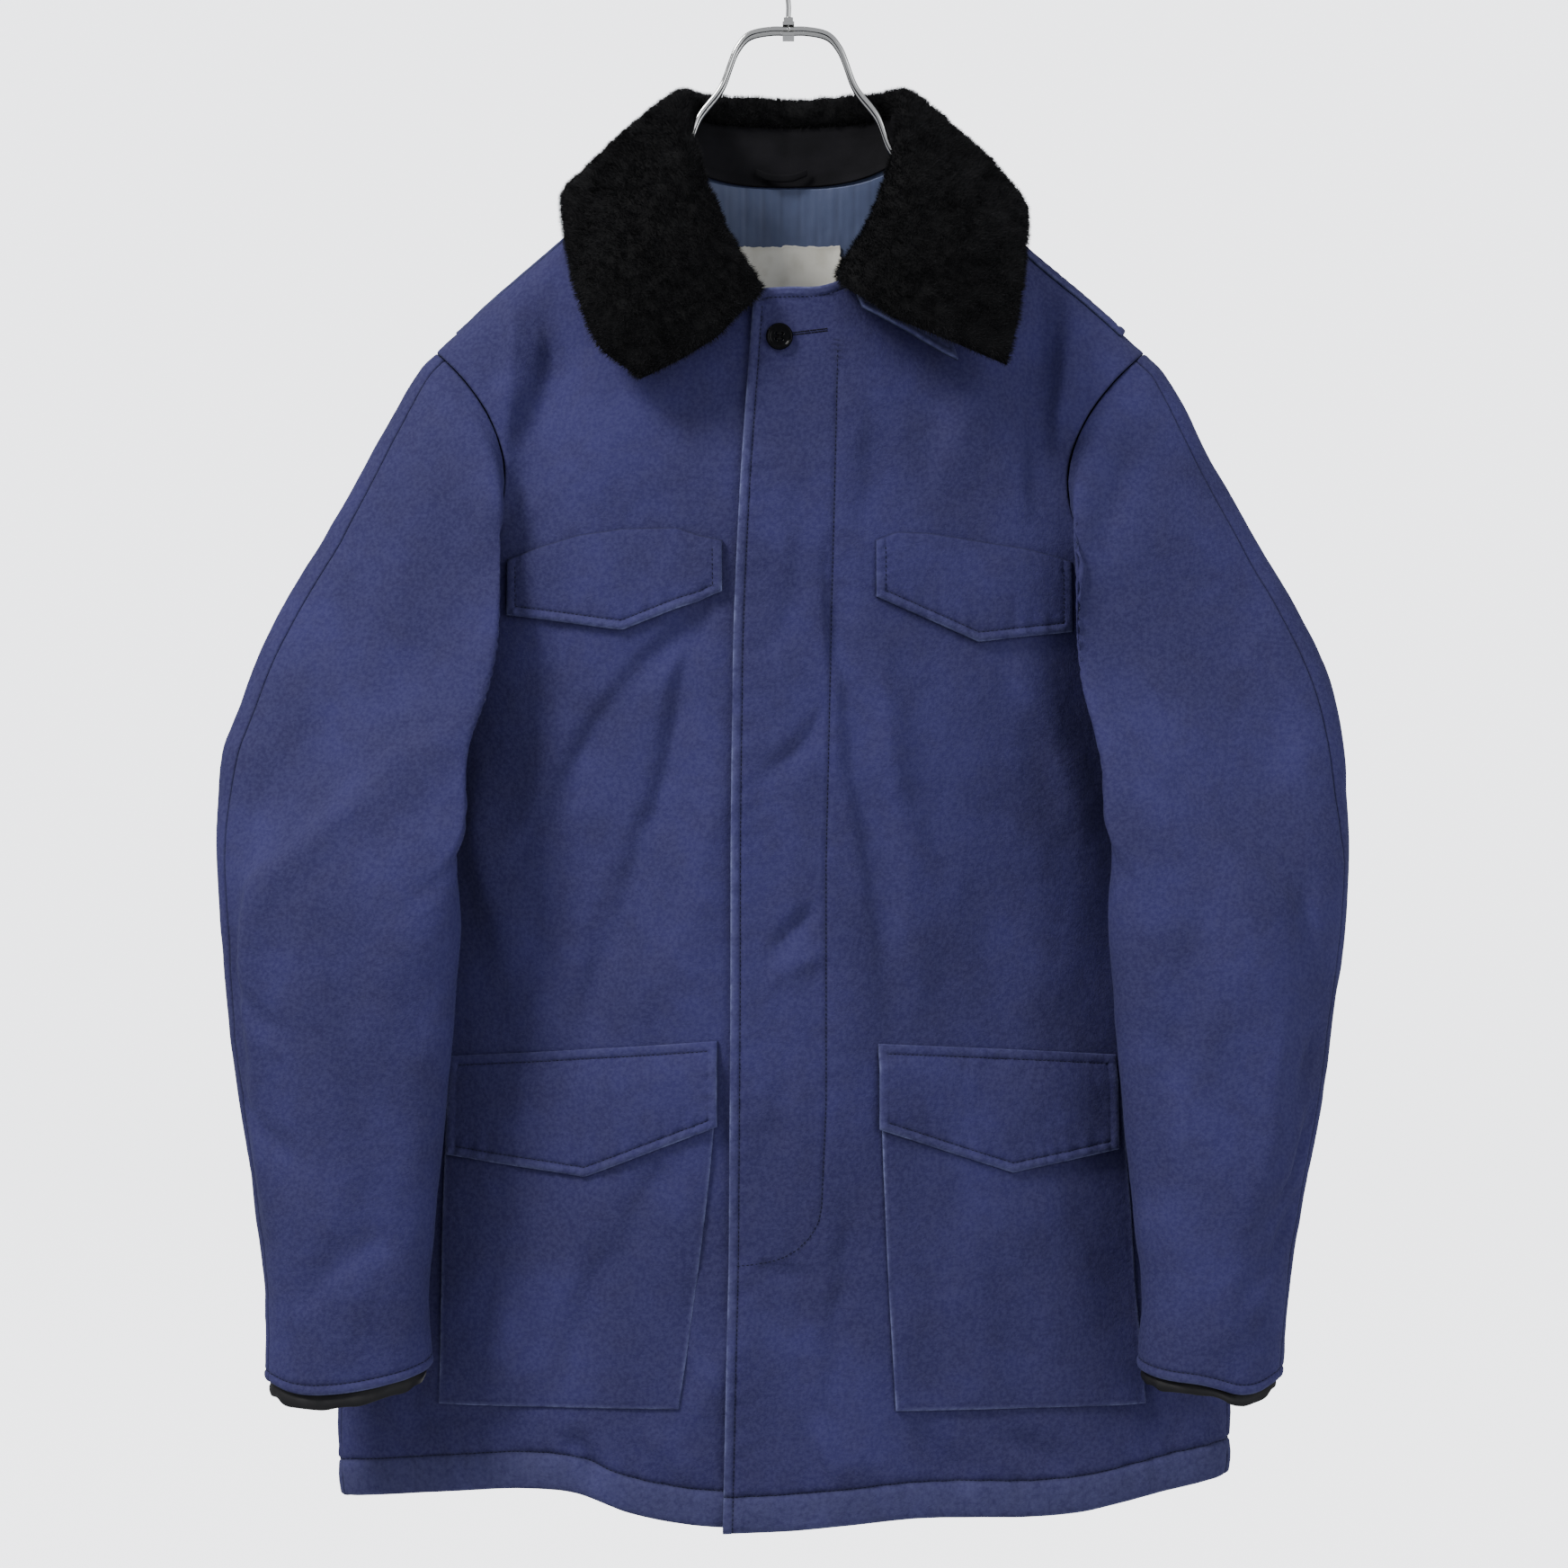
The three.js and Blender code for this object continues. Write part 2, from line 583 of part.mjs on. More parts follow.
// The place on a front or back that lies at a distance from the centre and a drop.
function onPanel(panel, x, drop) {
  let row = ARMHOLE_ROWS;
  let column = FRONT_COLUMNS / 2;
  const miss = (r, c) => {
    const { point } = between(panel.grid, panel.normals, r, c);
    return [panel.side * point.x - x, -point.z - drop];
  };
  const limit = (value) => clamp(value, -SEARCH_LIMIT, SEARCH_LIMIT);
  for (let pass = 0; pass < SEARCH_PASSES; pass++) {
    const [fx, fz] = miss(row, column);
    const [rx, rz] = miss(row + SEARCH_STEP, column);
    const [cx, cz] = miss(row, column + SEARCH_STEP);
    const a = (rx - fx) / SEARCH_STEP;
    const b = (cx - fx) / SEARCH_STEP;
    const c = (rz - fz) / SEARCH_STEP;
    const d = (cz - fz) / SEARCH_STEP;
    const det = a * d - b * c;
    row = clamp(row - limit((d * fx - b * fz) / det), 0, panel.grid.length - 1);
    column = clamp(column - limit((a * fz - c * fx) / det), 0, FRONT_COLUMNS);
  }
  return between(panel.grid, panel.normals, row, column);
}

// A piece that lies on a panel, moved out from it. outline gives x and drop for shares of its width
// and height, and lift how far its underside is off the panel.
function laidOn(panel, columns, rows, outline, lift, wall) {
  const grid = [];
  const normals = [];
  for (let j = 0; j <= rows; j++) {
    const line = [];
    const directions = [];
    for (let i = 0; i <= columns; i++) {
      const place = outline(i / columns, j / rows);
      const { point, normal } = onPanel(panel, place.x, place.drop);
      const raised = typeof lift === "function" ? lift(i / columns, j / rows) : lift;
      line.push(point.addScaledVector(normal, raised));
      directions.push(normal);
    }
    grid.push(line);
    normals.push(directions);
  }
  return geometryOf(wallGeometry(grid, normals, 0, wall, -panel.flip));
}

function panel(side, facing, hem, folds, edge, forward) {
  const grid = bodyGrid(side, facing, hem, folds, edge, forward);
  const flip = side * facing;
  return { side, facing, grid, flip, normals: gridNormals(grid, flip) };
}

// Two walls that meet at a seam are cut along one shared direction there.
function shareDirection(a, b) {
  const shared = new THREE.Vector3().addVectors(a, b).normalize();
  a.copy(shared);
  b.copy(shared);
}

const object = new THREE.Group();
const coat = new THREE.Group();
object.add(coat);

// Panels of the body
const rightFront = panel(-1, 1, HEM_OF_RIGHT_FRONT, FOLDS_OF_RIGHT_FRONT, EDGE_OF_RIGHT_FRONT, 0);
const leftFront = panel(1, 1, HEM_OF_LEFT_FRONT, FOLDS_OF_LEFT_FRONT, EDGE_OF_LEFT_FRONT, 0);
const rightBack = panel(-1, -1, HEM_OF_RIGHT_BACK, [], null, 0);
const leftBack = panel(1, -1, HEM_OF_LEFT_BACK, [], null, 0);

// The lapping front comes forward towards its edge, clear of the front below it.
for (const row of leftFront.grid) {
  for (const p of row) {
    const lap = smoothstep(-p.x, -LAP_FROM, -LAP_TO) * smoothstep(-p.z, LAP_TOP_FROM, LAP_TOP_TO);
    p.y -= (SHELL_WALL + LAP_FORWARD) * lap;
  }
}
leftFront.normals = gridNormals(leftFront.grid, leftFront.flip);

// Sleeves, each of an upper and an under piece
function sleeveGrid(side, fromAngle) {
  const grid = [];
  for (let j = 0; j <= SLEEVE_ROWS; j++) {
    const line = [];
    for (let k = 0; k <= ARMHOLE_ROWS; k++) {
      line.push(sleevePoint(side, fromAngle + k * RING_STEP, j));
    }
    grid.push(line);
  }
  return grid;
}
const sleeves = [-1, 1].map((side) => {
  const upper = sleeveGrid(side, UPPER_SLEEVE_FROM);
  const under = sleeveGrid(side, UPPER_SLEEVE_FROM + 180);
  return {
    side,
    upper: { grid: upper, normals: gridNormals(upper, side), flip: side },
    under: { grid: under, normals: gridNormals(under, side), flip: side },
  };
});

// Seams share one cutting direction: side seams, shoulder seams, sleeve seams and armholes.
const bodySides = [
  { front: rightFront, back: rightBack, sleeve: sleeves[0] },
  { front: leftFront, back: leftBack, sleeve: sleeves[1] },
];
for (const { front, back, sleeve } of bodySides) {
  for (let j = ARMHOLE_ROWS + 1; j < front.grid.length; j++) {
    shareDirection(front.normals[j][0], back.normals[j][0]);
  }
  shareDirection(front.normals[ARMHOLE_ROWS][0], back.normals[ARMHOLE_ROWS][0]);
  for (let i = 0; i <= FRONT_COLUMNS; i++) {
    shareDirection(front.normals[0][i], back.normals[0][i]);
  }
  for (let j = 1; j <= SLEEVE_ROWS; j++) {
    shareDirection(sleeve.upper.normals[j][0], sleeve.under.normals[j][ARMHOLE_ROWS]);
    shareDirection(sleeve.upper.normals[j][ARMHOLE_ROWS], sleeve.under.normals[j][0]);
  }
  for (let k = 0; k < 2 * ARMHOLE_ROWS; k++) {
    const body = [];
    if (k <= ARMHOLE_ROWS) body.push(front.normals[k][0]);
    if (k >= ARMHOLE_ROWS) body.push(back.normals[2 * ARMHOLE_ROWS - k][0]);
    if (k === 0) body.push(back.normals[0][0]);
    const arm = [];
    const inUpper = k - 1;
    const inUnder = (k - 1 + ARMHOLE_ROWS) % (2 * ARMHOLE_ROWS);
    if (inUpper >= 0 && inUpper <= ARMHOLE_ROWS) arm.push(sleeve.upper.normals[0][inUpper]);
    if (inUnder <= ARMHOLE_ROWS) arm.push(sleeve.under.normals[0][inUnder]);
    if (inUpper === 0) arm.push(sleeve.under.normals[0][ARMHOLE_ROWS]);
    const mean = (directions) => {
      const sum = new THREE.Vector3();
      for (const direction of directions) sum.add(direction);
      return sum.normalize();
    };
    const shared = mean([mean(body), mean(arm)]);
    if (k === ARMHOLE_ROWS) {
      shared.setY(0);
      shared.x += UNDERARM_OUT * front.side;
      shared.normalize();
    }
    for (const direction of [...body, ...arm]) direction.copy(shared);
  }
}
// The two halves of the back are one cloth, so their directions at the centre lie in its plane.
for (const back of [rightBack, leftBack]) {
  for (let j = NECK_ROWS; j < back.grid.length; j++) {
    const direction = back.normals[j][FRONT_COLUMNS];
    direction.x = 0;
    direction.normalize();
  }
}

function solidOf(geometry) {
  return new wasm.Manifold(new wasm.Mesh({
    numProp: 3,
    vertProperties: new Float32Array(geometry.attributes.position.array),
    triVerts: new Uint32Array(geometry.index.array),
  }));
}

function geometryFrom(solid) {
  const cut = solid.getMesh();
  const points = [];
  for (let i = 0; i < cut.numVert; i++) {
    const first = i * cut.numProp;
    points.push(...cut.vertProperties.subarray(first, first + 3));
  }
  return geometryOf({ points, faces: Array.from(cut.triVerts) });
}

// Draws the edges of a grid that are sewn to others back by half the seam gap.
function openSeams(part, sides) {
  const { grid } = part;
  const end = grid[0].length - 1;
  const distance = sides.distance ?? SEAM_GAP / 2 + SEAM_MARGIN;
  const moves = [];
  grid.forEach((row, j) => {
    row.forEach((p, i) => {
      if (sides.start && i === 0) moves.push([p, grid[j][1].clone()]);
      if (sides.end && i === end) moves.push([p, grid[j][end - 1].clone()]);
      if (sides.top && j === 0) moves.push([p, grid[1][i].clone()]);
    });
  });
  for (const [p, towards] of moves) {
    p.add(towards.sub(p).normalize().multiplyScalar(distance));
  }
}
function shell(name, { grid, normals, flip }) {
  coat.add(mesh(name, geometryOf(wallGeometry(grid, normals, -SHELL_WALL, 0, flip)), "shell"));
}

for (const { front, back } of bodySides) {
  openSeams(front, { start: true, top: true });
  openSeams(back, { start: true, top: true });
}
shell("front_right", rightFront);
shell("front_left", leftFront);
const belowNeck = (j) => j >= NECK_ROWS;
const byArmhole = (j) => j < ARMHOLE_ROWS;
const backHalf = ({ grid, normals, flip }) => {
  return wallGeometry(grid, normals, -SHELL_WALL, 0, flip, belowNeck, byArmhole);
};
const backGeometry = geometryOf(backHalf(rightBack), backHalf(leftBack));
coat.add(mesh("back", backGeometry, "shell"));
for (const { side, upper, under } of sleeves) {
  const name = side < 0 ? "right" : "left";
  for (const piece of [upper, under]) {
    openSeams(piece, { start: true, end: true });
    openSeams(piece, { top: true, distance: ARMHOLE_GAP });
    // Behind the shoulder a sleeve starts clear of the back.
    for (const p of piece.grid[0]) {
      if (p.y > 0) p.add(new THREE.Vector3(side * CLEAR_OF_BACK.out, -CLEAR_OF_BACK.forward, 0));
    }
  }
  shell(`sleeve_upper_${name}`, upper);
  shell(`sleeve_under_${name}`, under);
}

// A closed ring of wall round the inside of the sleeve's end, showing below it.
function cuff(side, name) {
  const grid = [CUFF_REACH - CUFF_HEIGHT, 0, CUFF_REACH].map((below) => {
    const end = SLEEVE_ROWS;
    const length = SLEEVE[end].outDrop - SLEEVE[end - 1].outDrop;
    const at = Math.min(end, end + below / length);
    const middle = sleevePoint(side, 0, at).add(sleevePoint(side, 180, at)).multiplyScalar(0.5);
    const line = [];
    for (let k = 0; k < 2 * ARMHOLE_ROWS; k++) {
      const p = sleevePoint(side, k * RING_STEP, at);
      const inward = new THREE.Vector3().subVectors(middle, p).setZ(0).normalize();
      p.addScaledVector(inward, SHELL_WALL + CUFF_INSET);
      p.z -= Math.max(0, below);
      line.push(p);
    }
    line.push(line[0].clone());
    return line;
  });
  const normals = gridNormals(grid, side);
  for (const directions of normals) {
    shareDirection(directions[0], directions[directions.length - 1]);
  }
  return mesh(name, geometryOf(ringWall(grid, normals, -CUFF_WALL, 0, side)), "blackCloth");
}

// A wall whose rows are closed rings: their first and last points are the same.
function ringWall(grid, normals, from, to, flip) {
  const wall = wallGeometry(grid, normals, from, to, flip, () => true);
  const columns = grid[0].length;
  const faces = [];
  for (let f = 0; f < wall.faces.length; f += 3) {
    const face = wall.faces.slice(f, f + 3);
    if (!face.every((point) => point % columns === 0)) faces.push(...face);
  }
  return { points: wall.points, faces };
}
coat.add(cuff(-1, "cuff_right"));
coat.add(cuff(1, "cuff_left"));

// Flaps and pockets
const readLine = (table, key, at, column) => {
  let i = 0;
  while (i < table.length - 2 && at > table[i + 1][key]) i++;
  const t = (at - table[i][key]) / (table[i + 1][key] - table[i][key]);
  return lerp(table[i][column], table[i + 1][column], t);
};
function flapOutline(table) {
  // Columns are spread evenly between the table's rows, so that each of its corners is kept.
  const stops = table.map((row) => row.x);
  const each = Math.round(FLAP_COLUMNS / (table.length - 1));
  const columns = each * (table.length - 1);
  const outline = (u, v) => {
    const at = Math.round(u * columns);
    const i = Math.min(Math.floor(at / each), stops.length - 2);
    const x = lerp(stops[i], stops[i + 1], (at - i * each) / each);
    const top = readLine(table, "x", x, "top");
    return { x, drop: lerp(top, readLine(table, "x", x, "bottom"), v) };
  };
  return { columns, outline };
}
function flap(panelBelow, table, name, lift) {
  const { columns, outline } = flapOutline(table);
  const raised = (u, v) => lerp(FLAP_LIFT, lift, Math.min(1, v * FLAP_ROWS));
  const geometry = laidOn(panelBelow, columns, FLAP_ROWS, outline, raised, FLAP_WALL);
  coat.add(mesh(name, geometry, "shell"));
}
function pocket(panelBelow, size, name) {
  const outline = (u, v) => ({
    x: lerp(
      lerp(size.innerTop, size.innerBottom, v ** POCKET_SLANT),
      lerp(size.outerTop, size.outerBottom, v),
      u,
    ),
    drop: lerp(size.topDrop, size.bottomDrop, v),
  });
  const raised = (u, v) => {
    return POCKET_LIFT + POCKET_BULGE * Math.sin(Math.PI * u) * Math.sin(Math.PI * v);
  };
  const cells = POCKET_CELLS;
  coat.add(mesh(name, laidOn(panelBelow, cells, cells, outline, raised, PATCH_WALL), "shell"));
}
flap(rightFront, CHEST_FLAP_RIGHT, "chest_flap_right", CHEST_FLAP_LIFT);
flap(leftFront, CHEST_FLAP_LEFT, "chest_flap_left", CHEST_FLAP_LIFT);
const pocketTop = POCKET_LIFT + PATCH_WALL + POCKET_BULGE;
flap(rightFront, POCKET_FLAP_RIGHT, "pocket_flap_right", pocketTop);
flap(leftFront, POCKET_FLAP_LEFT, "pocket_flap_left", pocketTop);
pocket(rightFront, POCKET_RIGHT, "pocket_right");
pocket(leftFront, POCKET_LEFT, "pocket_left");

// Collar: a blue under-collar with a black inner band and pile on its upper side
function collarSection(side, angle) {
  const row = read(side < 0 ? COLLAR_RIGHT : COLLAR_LEFT, "angle", angle);
  const neck = necklinePoint(side, angle);
  neck.x -= side * COLLAR_INSET * Math.cos(radians(angle));
  neck.y += COLLAR_INSET * Math.sin(radians(angle));
  neck.z += COLLAR_RISE;
  const at = (key) => {
    return new THREE.Vector3(side * row[`${key}X`], row[`${key}Y`], -row[`${key}Drop`]);
  };
  const points = [neck, at("roll"), at("fall"), at("edge")];
  return new THREE.CatmullRomCurve3(points, false, "centripetal");
}
const collarEnd = (side) => {
  const table = side < 0 ? COLLAR_RIGHT : COLLAR_LEFT;
  return table[table.length - 1].angle;
};
const collarGrid = COLLAR_SHARES.map(() => []);
for (let k = -COLLAR_STATIONS; k <= COLLAR_STATIONS; k++) {
  const side = k < 0 ? -1 : 1;
  const section = collarSection(side, lerp(-90, collarEnd(side), Math.abs(k) / COLLAR_STATIONS));
  COLLAR_SHARES.forEach((share, j) => collarGrid[j].push(section.getPoint(share)));
}
const collarNormals = gridNormals(collarGrid, 1);
const pileRows = COLLAR_SHARES.length - STAND_ROWS;
const pileGrid = collarGrid.slice(STAND_ROWS).map((row) => row.map((p) => p.clone()));
const pileNormals = collarNormals.slice(STAND_ROWS);
const collarColumns = 2 * COLLAR_STATIONS;
const pushOut = (p, from) => p.addScaledVector(p.clone().sub(from).normalize(), PILE_OVER_EDGE);
pileGrid[pileRows - 1].forEach((p, i) => pushOut(p, pileGrid[pileRows - 2][i]));
for (const row of pileGrid) {
  pushOut(row[0], row[1]);
  pushOut(row[collarColumns], row[collarColumns - 1]);
}
const pileReach = (j, i) => {
  const fromEnd = Math.min(1, Math.min(i, collarColumns - i) / 2 + 0.5);
  const fromStart = Math.min(1, 0.5 + j / 2);
  const fromEdge = Math.min(1, 0.6 + (pileRows - 1 - j) / 2);
  return PILE_OFF_CLOTH + PILE * Math.min(fromEnd, fromStart, fromEdge);
};
const collarPiece = (name, grid, normals, from, to, colour) => {
  coat.add(mesh(name, geometryOf(wallGeometry(grid, normals, from, to, 1)), colour));
};
collarPiece("collar_under", collarGrid, collarNormals, -COLLAR_WALL, 0, "shell");
const standGrid = collarGrid.slice(0, STAND_ROWS);
collarPiece("collar_stand", standGrid, collarNormals, ON_CLOTH, ON_CLOTH + COLLAR_WALL, "blackCloth");
collarPiece("collar_fur", pileGrid, pileNormals, PILE_OFF_CLOTH, pileReach, "pile");

// Shoulder straps, across the shoulder seams
for (const { front, back } of bodySides) {
  const stops = [
    { part: front, row: 1 },
    { part: front, row: 0.5 },
    { part: front, row: 0 },
    { part: back, row: 0.5 },
    { part: back, row: 1 },
  ];
  const grid = [];
  const normals = [];
  for (let column = STRAP_FROM; column <= STRAP_TO; column++) {
    const places = stops.map(({ part, row }) => between(part.grid, part.normals, row, column));
    grid.push(places.map(({ point }) => point));
    normals.push(places.map(({ normal }) => normal));
  }
  const wall = wallGeometry(grid, normals, STRAP_LIFT, STRAP_LIFT + FLAP_WALL, front.side);
  const name = front.side < 0 ? "shoulder_strap_right" : "shoulder_strap_left";
  coat.add(mesh(name, geometryOf(wall), "shell"));
}

// Throat tab, under the left leaf of the collar
const tabOutline = (u, v) => ({
  x: lerp(TAB.fromX, TAB.toX, u),
  drop: lerp(TAB.fromDrop, TAB.toDrop, u) + TAB.height * (v - 1),
});
coat.add(mesh("throat_tab", laidOn(leftFront, 6, 2, tabOutline, TAB_LIFT, FLAP_WALL), "shell"));

// Lining and label inside the back of the neck
function inBack(x, drop, lift) {
  const part = x < 0 ? rightBack : leftBack;
  const { point, normal } = onPanel(part, Math.abs(x), drop);
  return { point: point.addScaledVector(normal, lift), normal };
}
function insideBack(name, outline, columns, rows, from, to, colour) {
  const grid = [];
  const normals = [];
  for (let j = 0; j <= rows; j++) {
    const line = [];
    for (let i = 0; i <= columns; i++) {
      const { x, drop } = outline(i / columns, j / rows);
      line.push(inBack(x, drop, 0));
    }
    grid.push(line.map(({ point }) => point));
    normals.push(line.map(({ normal }) => normal));
  }
  return mesh(name, geometryOf(wallGeometry(grid, normals, from, to, 1)), colour);
}
function backNeckDrop(x) {
  const down = 1 - Math.abs(x / NECK_HALF_WIDTH) ** 3;
  return NECK_DROP + (BACK_NECK_DROP - NECK_DROP) * down;
}
const liningOutline = (u, v) => {
  const x = lerp(-LINING.halfWidth, LINING.halfWidth, u);
  return { x, drop: lerp(backNeckDrop(x) + NECKLINE_TO_LINING, LINING.bottomDrop, v) };
};
const liningTo = -SHELL_WALL - ON_CLOTH;
const liningFrom = liningTo - LINING.wall;
coat.add(insideBack("neck_lining", liningOutline, 10, 6, liningFrom, liningTo, "lining"));
const labelOutline = (u, v) => ({
  x: lerp(LABEL.fromX, LABEL.toX, u),
  drop: lerp(LABEL.topDrop, LABEL.bottomDrop, v),
});
const labelTo = liningFrom - FLAP_LIFT;
coat.add(insideBack("label", labelOutline, 4, 3, labelTo - LABEL.wall, labelTo, "label"));

// A rod or band of one outline along a smooth line through points.
function along(points, shape, steps) {
  const path = new THREE.CatmullRomCurve3(points, false, "centripetal");
  return mergeVertices(
    new THREE.ExtrudeGeometry(shape, { steps, bevelEnabled: false, extrudePath: path })
      .deleteAttribute("uv")
      .deleteAttribute("normal"),
    MERGE_DISTANCE,
  );
}
function circle(radius, sides) {
  const shape = new THREE.Shape();
  for (let k = 0; k < sides; k++) {
    const a = (2 * Math.PI * k) / sides;
    if (k === 0) shape.moveTo(radius, 0);
    else shape.lineTo(radius * Math.cos(a), radius * Math.sin(a));
  }
  shape.closePath();
  return shape;
}
function strip(width, height) {
  const shape = new THREE.Shape();
  shape.moveTo(-width / 2, -height / 2);
  shape.lineTo(width / 2, -height / 2);
  shape.lineTo(width / 2, height / 2);
  shape.lineTo(-width / 2, height / 2);
  shape.closePath();
  return shape;
}
const toVectors = (table) => table.map(({ x, y, drop }) => new THREE.Vector3(x, y, -drop));
coat.add(mesh("hang_loop", along(toVectors(LOOP_LINE), strip(2, 5), 10), "blackCloth"));

// Neck button, with four holes
const buttonSeat = onPanel(leftFront, BUTTON.x, BUTTON.drop);
const buttonLine = BUTTON_SECTION.map(({ inset, height }) => {
  return new THREE.Vector2(BUTTON.radius - inset, height);
});
let button = solidOf(mergeVertices(
  new THREE.LatheGeometry(buttonLine, 20).deleteAttribute("uv").deleteAttribute("normal"),
  MERGE_DISTANCE,
));
const hole = wasm.Manifold.cylinder(8, BUTTON.holeRadius, BUTTON.holeRadius, 10, true)
  .rotate([90, 0, 0]);
for (const x of [-BUTTON.holeOffset, BUTTON.holeOffset]) {
  for (const z of [-BUTTON.holeOffset, BUTTON.holeOffset]) {
    button = button.subtract(hole.translate([x, 1, z]));
  }
}
const buttonMesh = mesh("neck_button", geometryFrom(button), "button");
buttonMesh.quaternion.setFromUnitVectors(new THREE.Vector3(0, 1, 0), buttonSeat.normal);
buttonMesh.position.copy(buttonSeat.point).addScaledVector(buttonSeat.normal, BUTTON.lift);
buttonMesh.position.x += leanAt(BUTTON.drop);
for (const piece of coat.children) lean(piece.geometry);
coat.add(buttonMesh);

// Hanger: a loop of wire, the clamp that holds both of its strands, and the hook
const wireHalf = toVectors(WIRE_LINE);
const strand = (side, facing) => {
  return wireHalf.map((p) => new THREE.Vector3(side * p.x, facing * p.y, p.z));
};
const wirePoints = [
  ...strand(1, -1),
  ...strand(1, 1).reverse(),
  ...strand(-1, 1).slice(1),
  ...strand(-1, -1).reverse(),
];
wirePoints[0].x = SEAM_GAP;
wirePoints[wirePoints.length - 1].x = -SEAM_GAP;
const wireGeometry = along(wirePoints, circle(WIRE_RADIUS, WIRE_SIDES), WIRE_STEPS);
object.add(mesh("hanger_wire", wireGeometry, "chrome"));

const top = -WIRE_LINE[0].drop + WIRE_RADIUS + CLAMP_CLEARANCE;
const bottom = -WIRE_LINE[0].drop - WIRE_RADIUS - CLAMP_CLEARANCE;
const box = (x, y, z, centreZ) => wasm.Manifold.cube([x, y, z], true).translate([0, 0, centreZ]);
const clampSolid = wasm.Manifold.union([
  box(CLAMP.width, CLAMP.depth, CLAMP.plate, top + CLAMP.plate / 2),
  box(CLAMP.width, CLAMP.depth, CLAMP.plate, bottom - CLAMP.plate / 2),
  box(CLAMP.width, CLAMP.post, top - bottom + 2, (top + bottom) / 2),
  wasm.Manifold.cylinder(CLAMP.ferrule + 1, FERRULE_RADIUS, FERRULE_RADIUS * 0.8, 20)
    .translate([0, 0, top + CLAMP.plate - 1]),
]);
object.add(mesh("hanger_clamp", geometryFrom(clampSolid), "chrome"));

const hookStart = top + CLAMP.plate + CLAMP.ferrule + CLAMP_CLEARANCE;
const hookCentre = -(HOOK_RADIUS - WIRE_RADIUS);
const hookPoints = [
  new THREE.Vector3(0, 0, hookStart),
  new THREE.Vector3(0, 0, (hookStart + hookCentre - HOOK_RADIUS) / 2 - 2),
  new THREE.Vector3(-2, 0, hookCentre - HOOK_RADIUS - 4),
];
for (let a = HOOK_START_ANGLE; a >= HOOK_END_ANGLE; a -= HOOK_ANGLE_STEP) {
  const x = HOOK_RADIUS * Math.cos(radians(a));
  hookPoints.push(new THREE.Vector3(x, 0, hookCentre + HOOK_RADIUS * Math.sin(radians(a))));
}
const hookGeometry = along(hookPoints, circle(WIRE_RADIUS, WIRE_SIDES), HOOK_STEPS);
object.add(mesh("hanger_hook", hookGeometry, "chrome"));

export default object;
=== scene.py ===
# A navy winter parka with a black pile collar, hanging on a chrome twin-wire hanger.
# The sizes below are millimetres, turned to metres where a mesh is made. +X is the wearer's left, +Y is
# towards the wearer's back and +Z is up. A "drop" is a distance below the inside of the hanger's hook.
import math
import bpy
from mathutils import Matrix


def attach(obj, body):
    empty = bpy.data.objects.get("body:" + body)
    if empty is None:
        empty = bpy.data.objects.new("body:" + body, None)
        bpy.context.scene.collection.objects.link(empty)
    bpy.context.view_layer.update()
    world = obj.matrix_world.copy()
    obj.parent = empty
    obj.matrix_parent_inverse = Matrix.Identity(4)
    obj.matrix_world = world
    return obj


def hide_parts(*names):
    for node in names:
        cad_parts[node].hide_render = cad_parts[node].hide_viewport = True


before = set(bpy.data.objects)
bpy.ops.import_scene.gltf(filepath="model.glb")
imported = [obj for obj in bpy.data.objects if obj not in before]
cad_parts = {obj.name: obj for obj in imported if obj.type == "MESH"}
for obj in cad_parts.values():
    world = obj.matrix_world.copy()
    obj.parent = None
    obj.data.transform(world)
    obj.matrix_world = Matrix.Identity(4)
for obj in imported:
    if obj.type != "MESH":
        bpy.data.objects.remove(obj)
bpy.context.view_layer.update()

from types import SimpleNamespace

import bmesh
import bpy
import numpy as np
from mathutils import Vector
from mathutils.bvhtree import BVHTree

MM = 0.001

# Driving dimensions
SHELL_WALL = 3.0
FLAP_WALL = 2.4
PATCH_WALL = 1.8
LEAN = -3.0
LEAN_FROM_DROP = 268
LEAN_TO_DROP = 408
NECK_HALF_WIDTH = 84
NECK_DROP = 148
FRONT_NECK_DROP = 256
BACK_NECK_DROP = 165
FRONT_NECK_DEPTH = 58
BACK_NECK_DEPTH = 46
UNDERARM_DROP = 480
HEM_DROP = 1066
WIRE_RADIUS = 1.75
HOOK_RADIUS = 17.75
RING_STEP = 20
ARMHOLE_ROWS = 180 // RING_STEP
BODY_ROWS = 13
FRONT_COLUMNS = 11
NECK_ROWS = 6
SIDE_SEAM_ANGLE = 8
LAP_FORWARD = 2.2
LAP_FROM = 95
LAP_TO = 48
LAP_TOP_FROM = 226
LAP_TOP_TO = 254
HEM_TURN = 24.5
TOPSTITCH = 6.6  # from a turned edge to its stitch line


class Table:
    """Rows of named columns, read along a smooth curve through each column."""

    def __init__(self, columns, *rows):
        self.names = columns.split()
        self.rows = np.array(rows, float)

    def read(self, value):
        keys = self.rows[:, 0]
        last = len(keys) - 1
        i = int(np.clip(np.searchsorted(keys, value) - 1, 0, last - 1))
        span = keys[i + 1] - keys[i]
        t = float(np.clip((value - keys[i]) / span, 0, 1))

        def slope(j):
            a, b = max(0, j - 1), min(last, j + 1)
            return (self.rows[b] - self.rows[a]) / (keys[b] - keys[a]) * span

        p, q, a, b = self.rows[i], self.rows[i + 1], slope(i), slope(i + 1)
        row = p + t * a + t * t * (3 * (q - p) - 2 * a - b) + t**3 * (2 * (p - q) + a + b)
        return SimpleNamespace(**dict(zip(self.names, row)))

    def line(self, column, at):
        """A column read along straight lines, for every value of an array."""
        return np.interp(at, self.rows[:, 0], self.rows[:, self.names.index(column)])


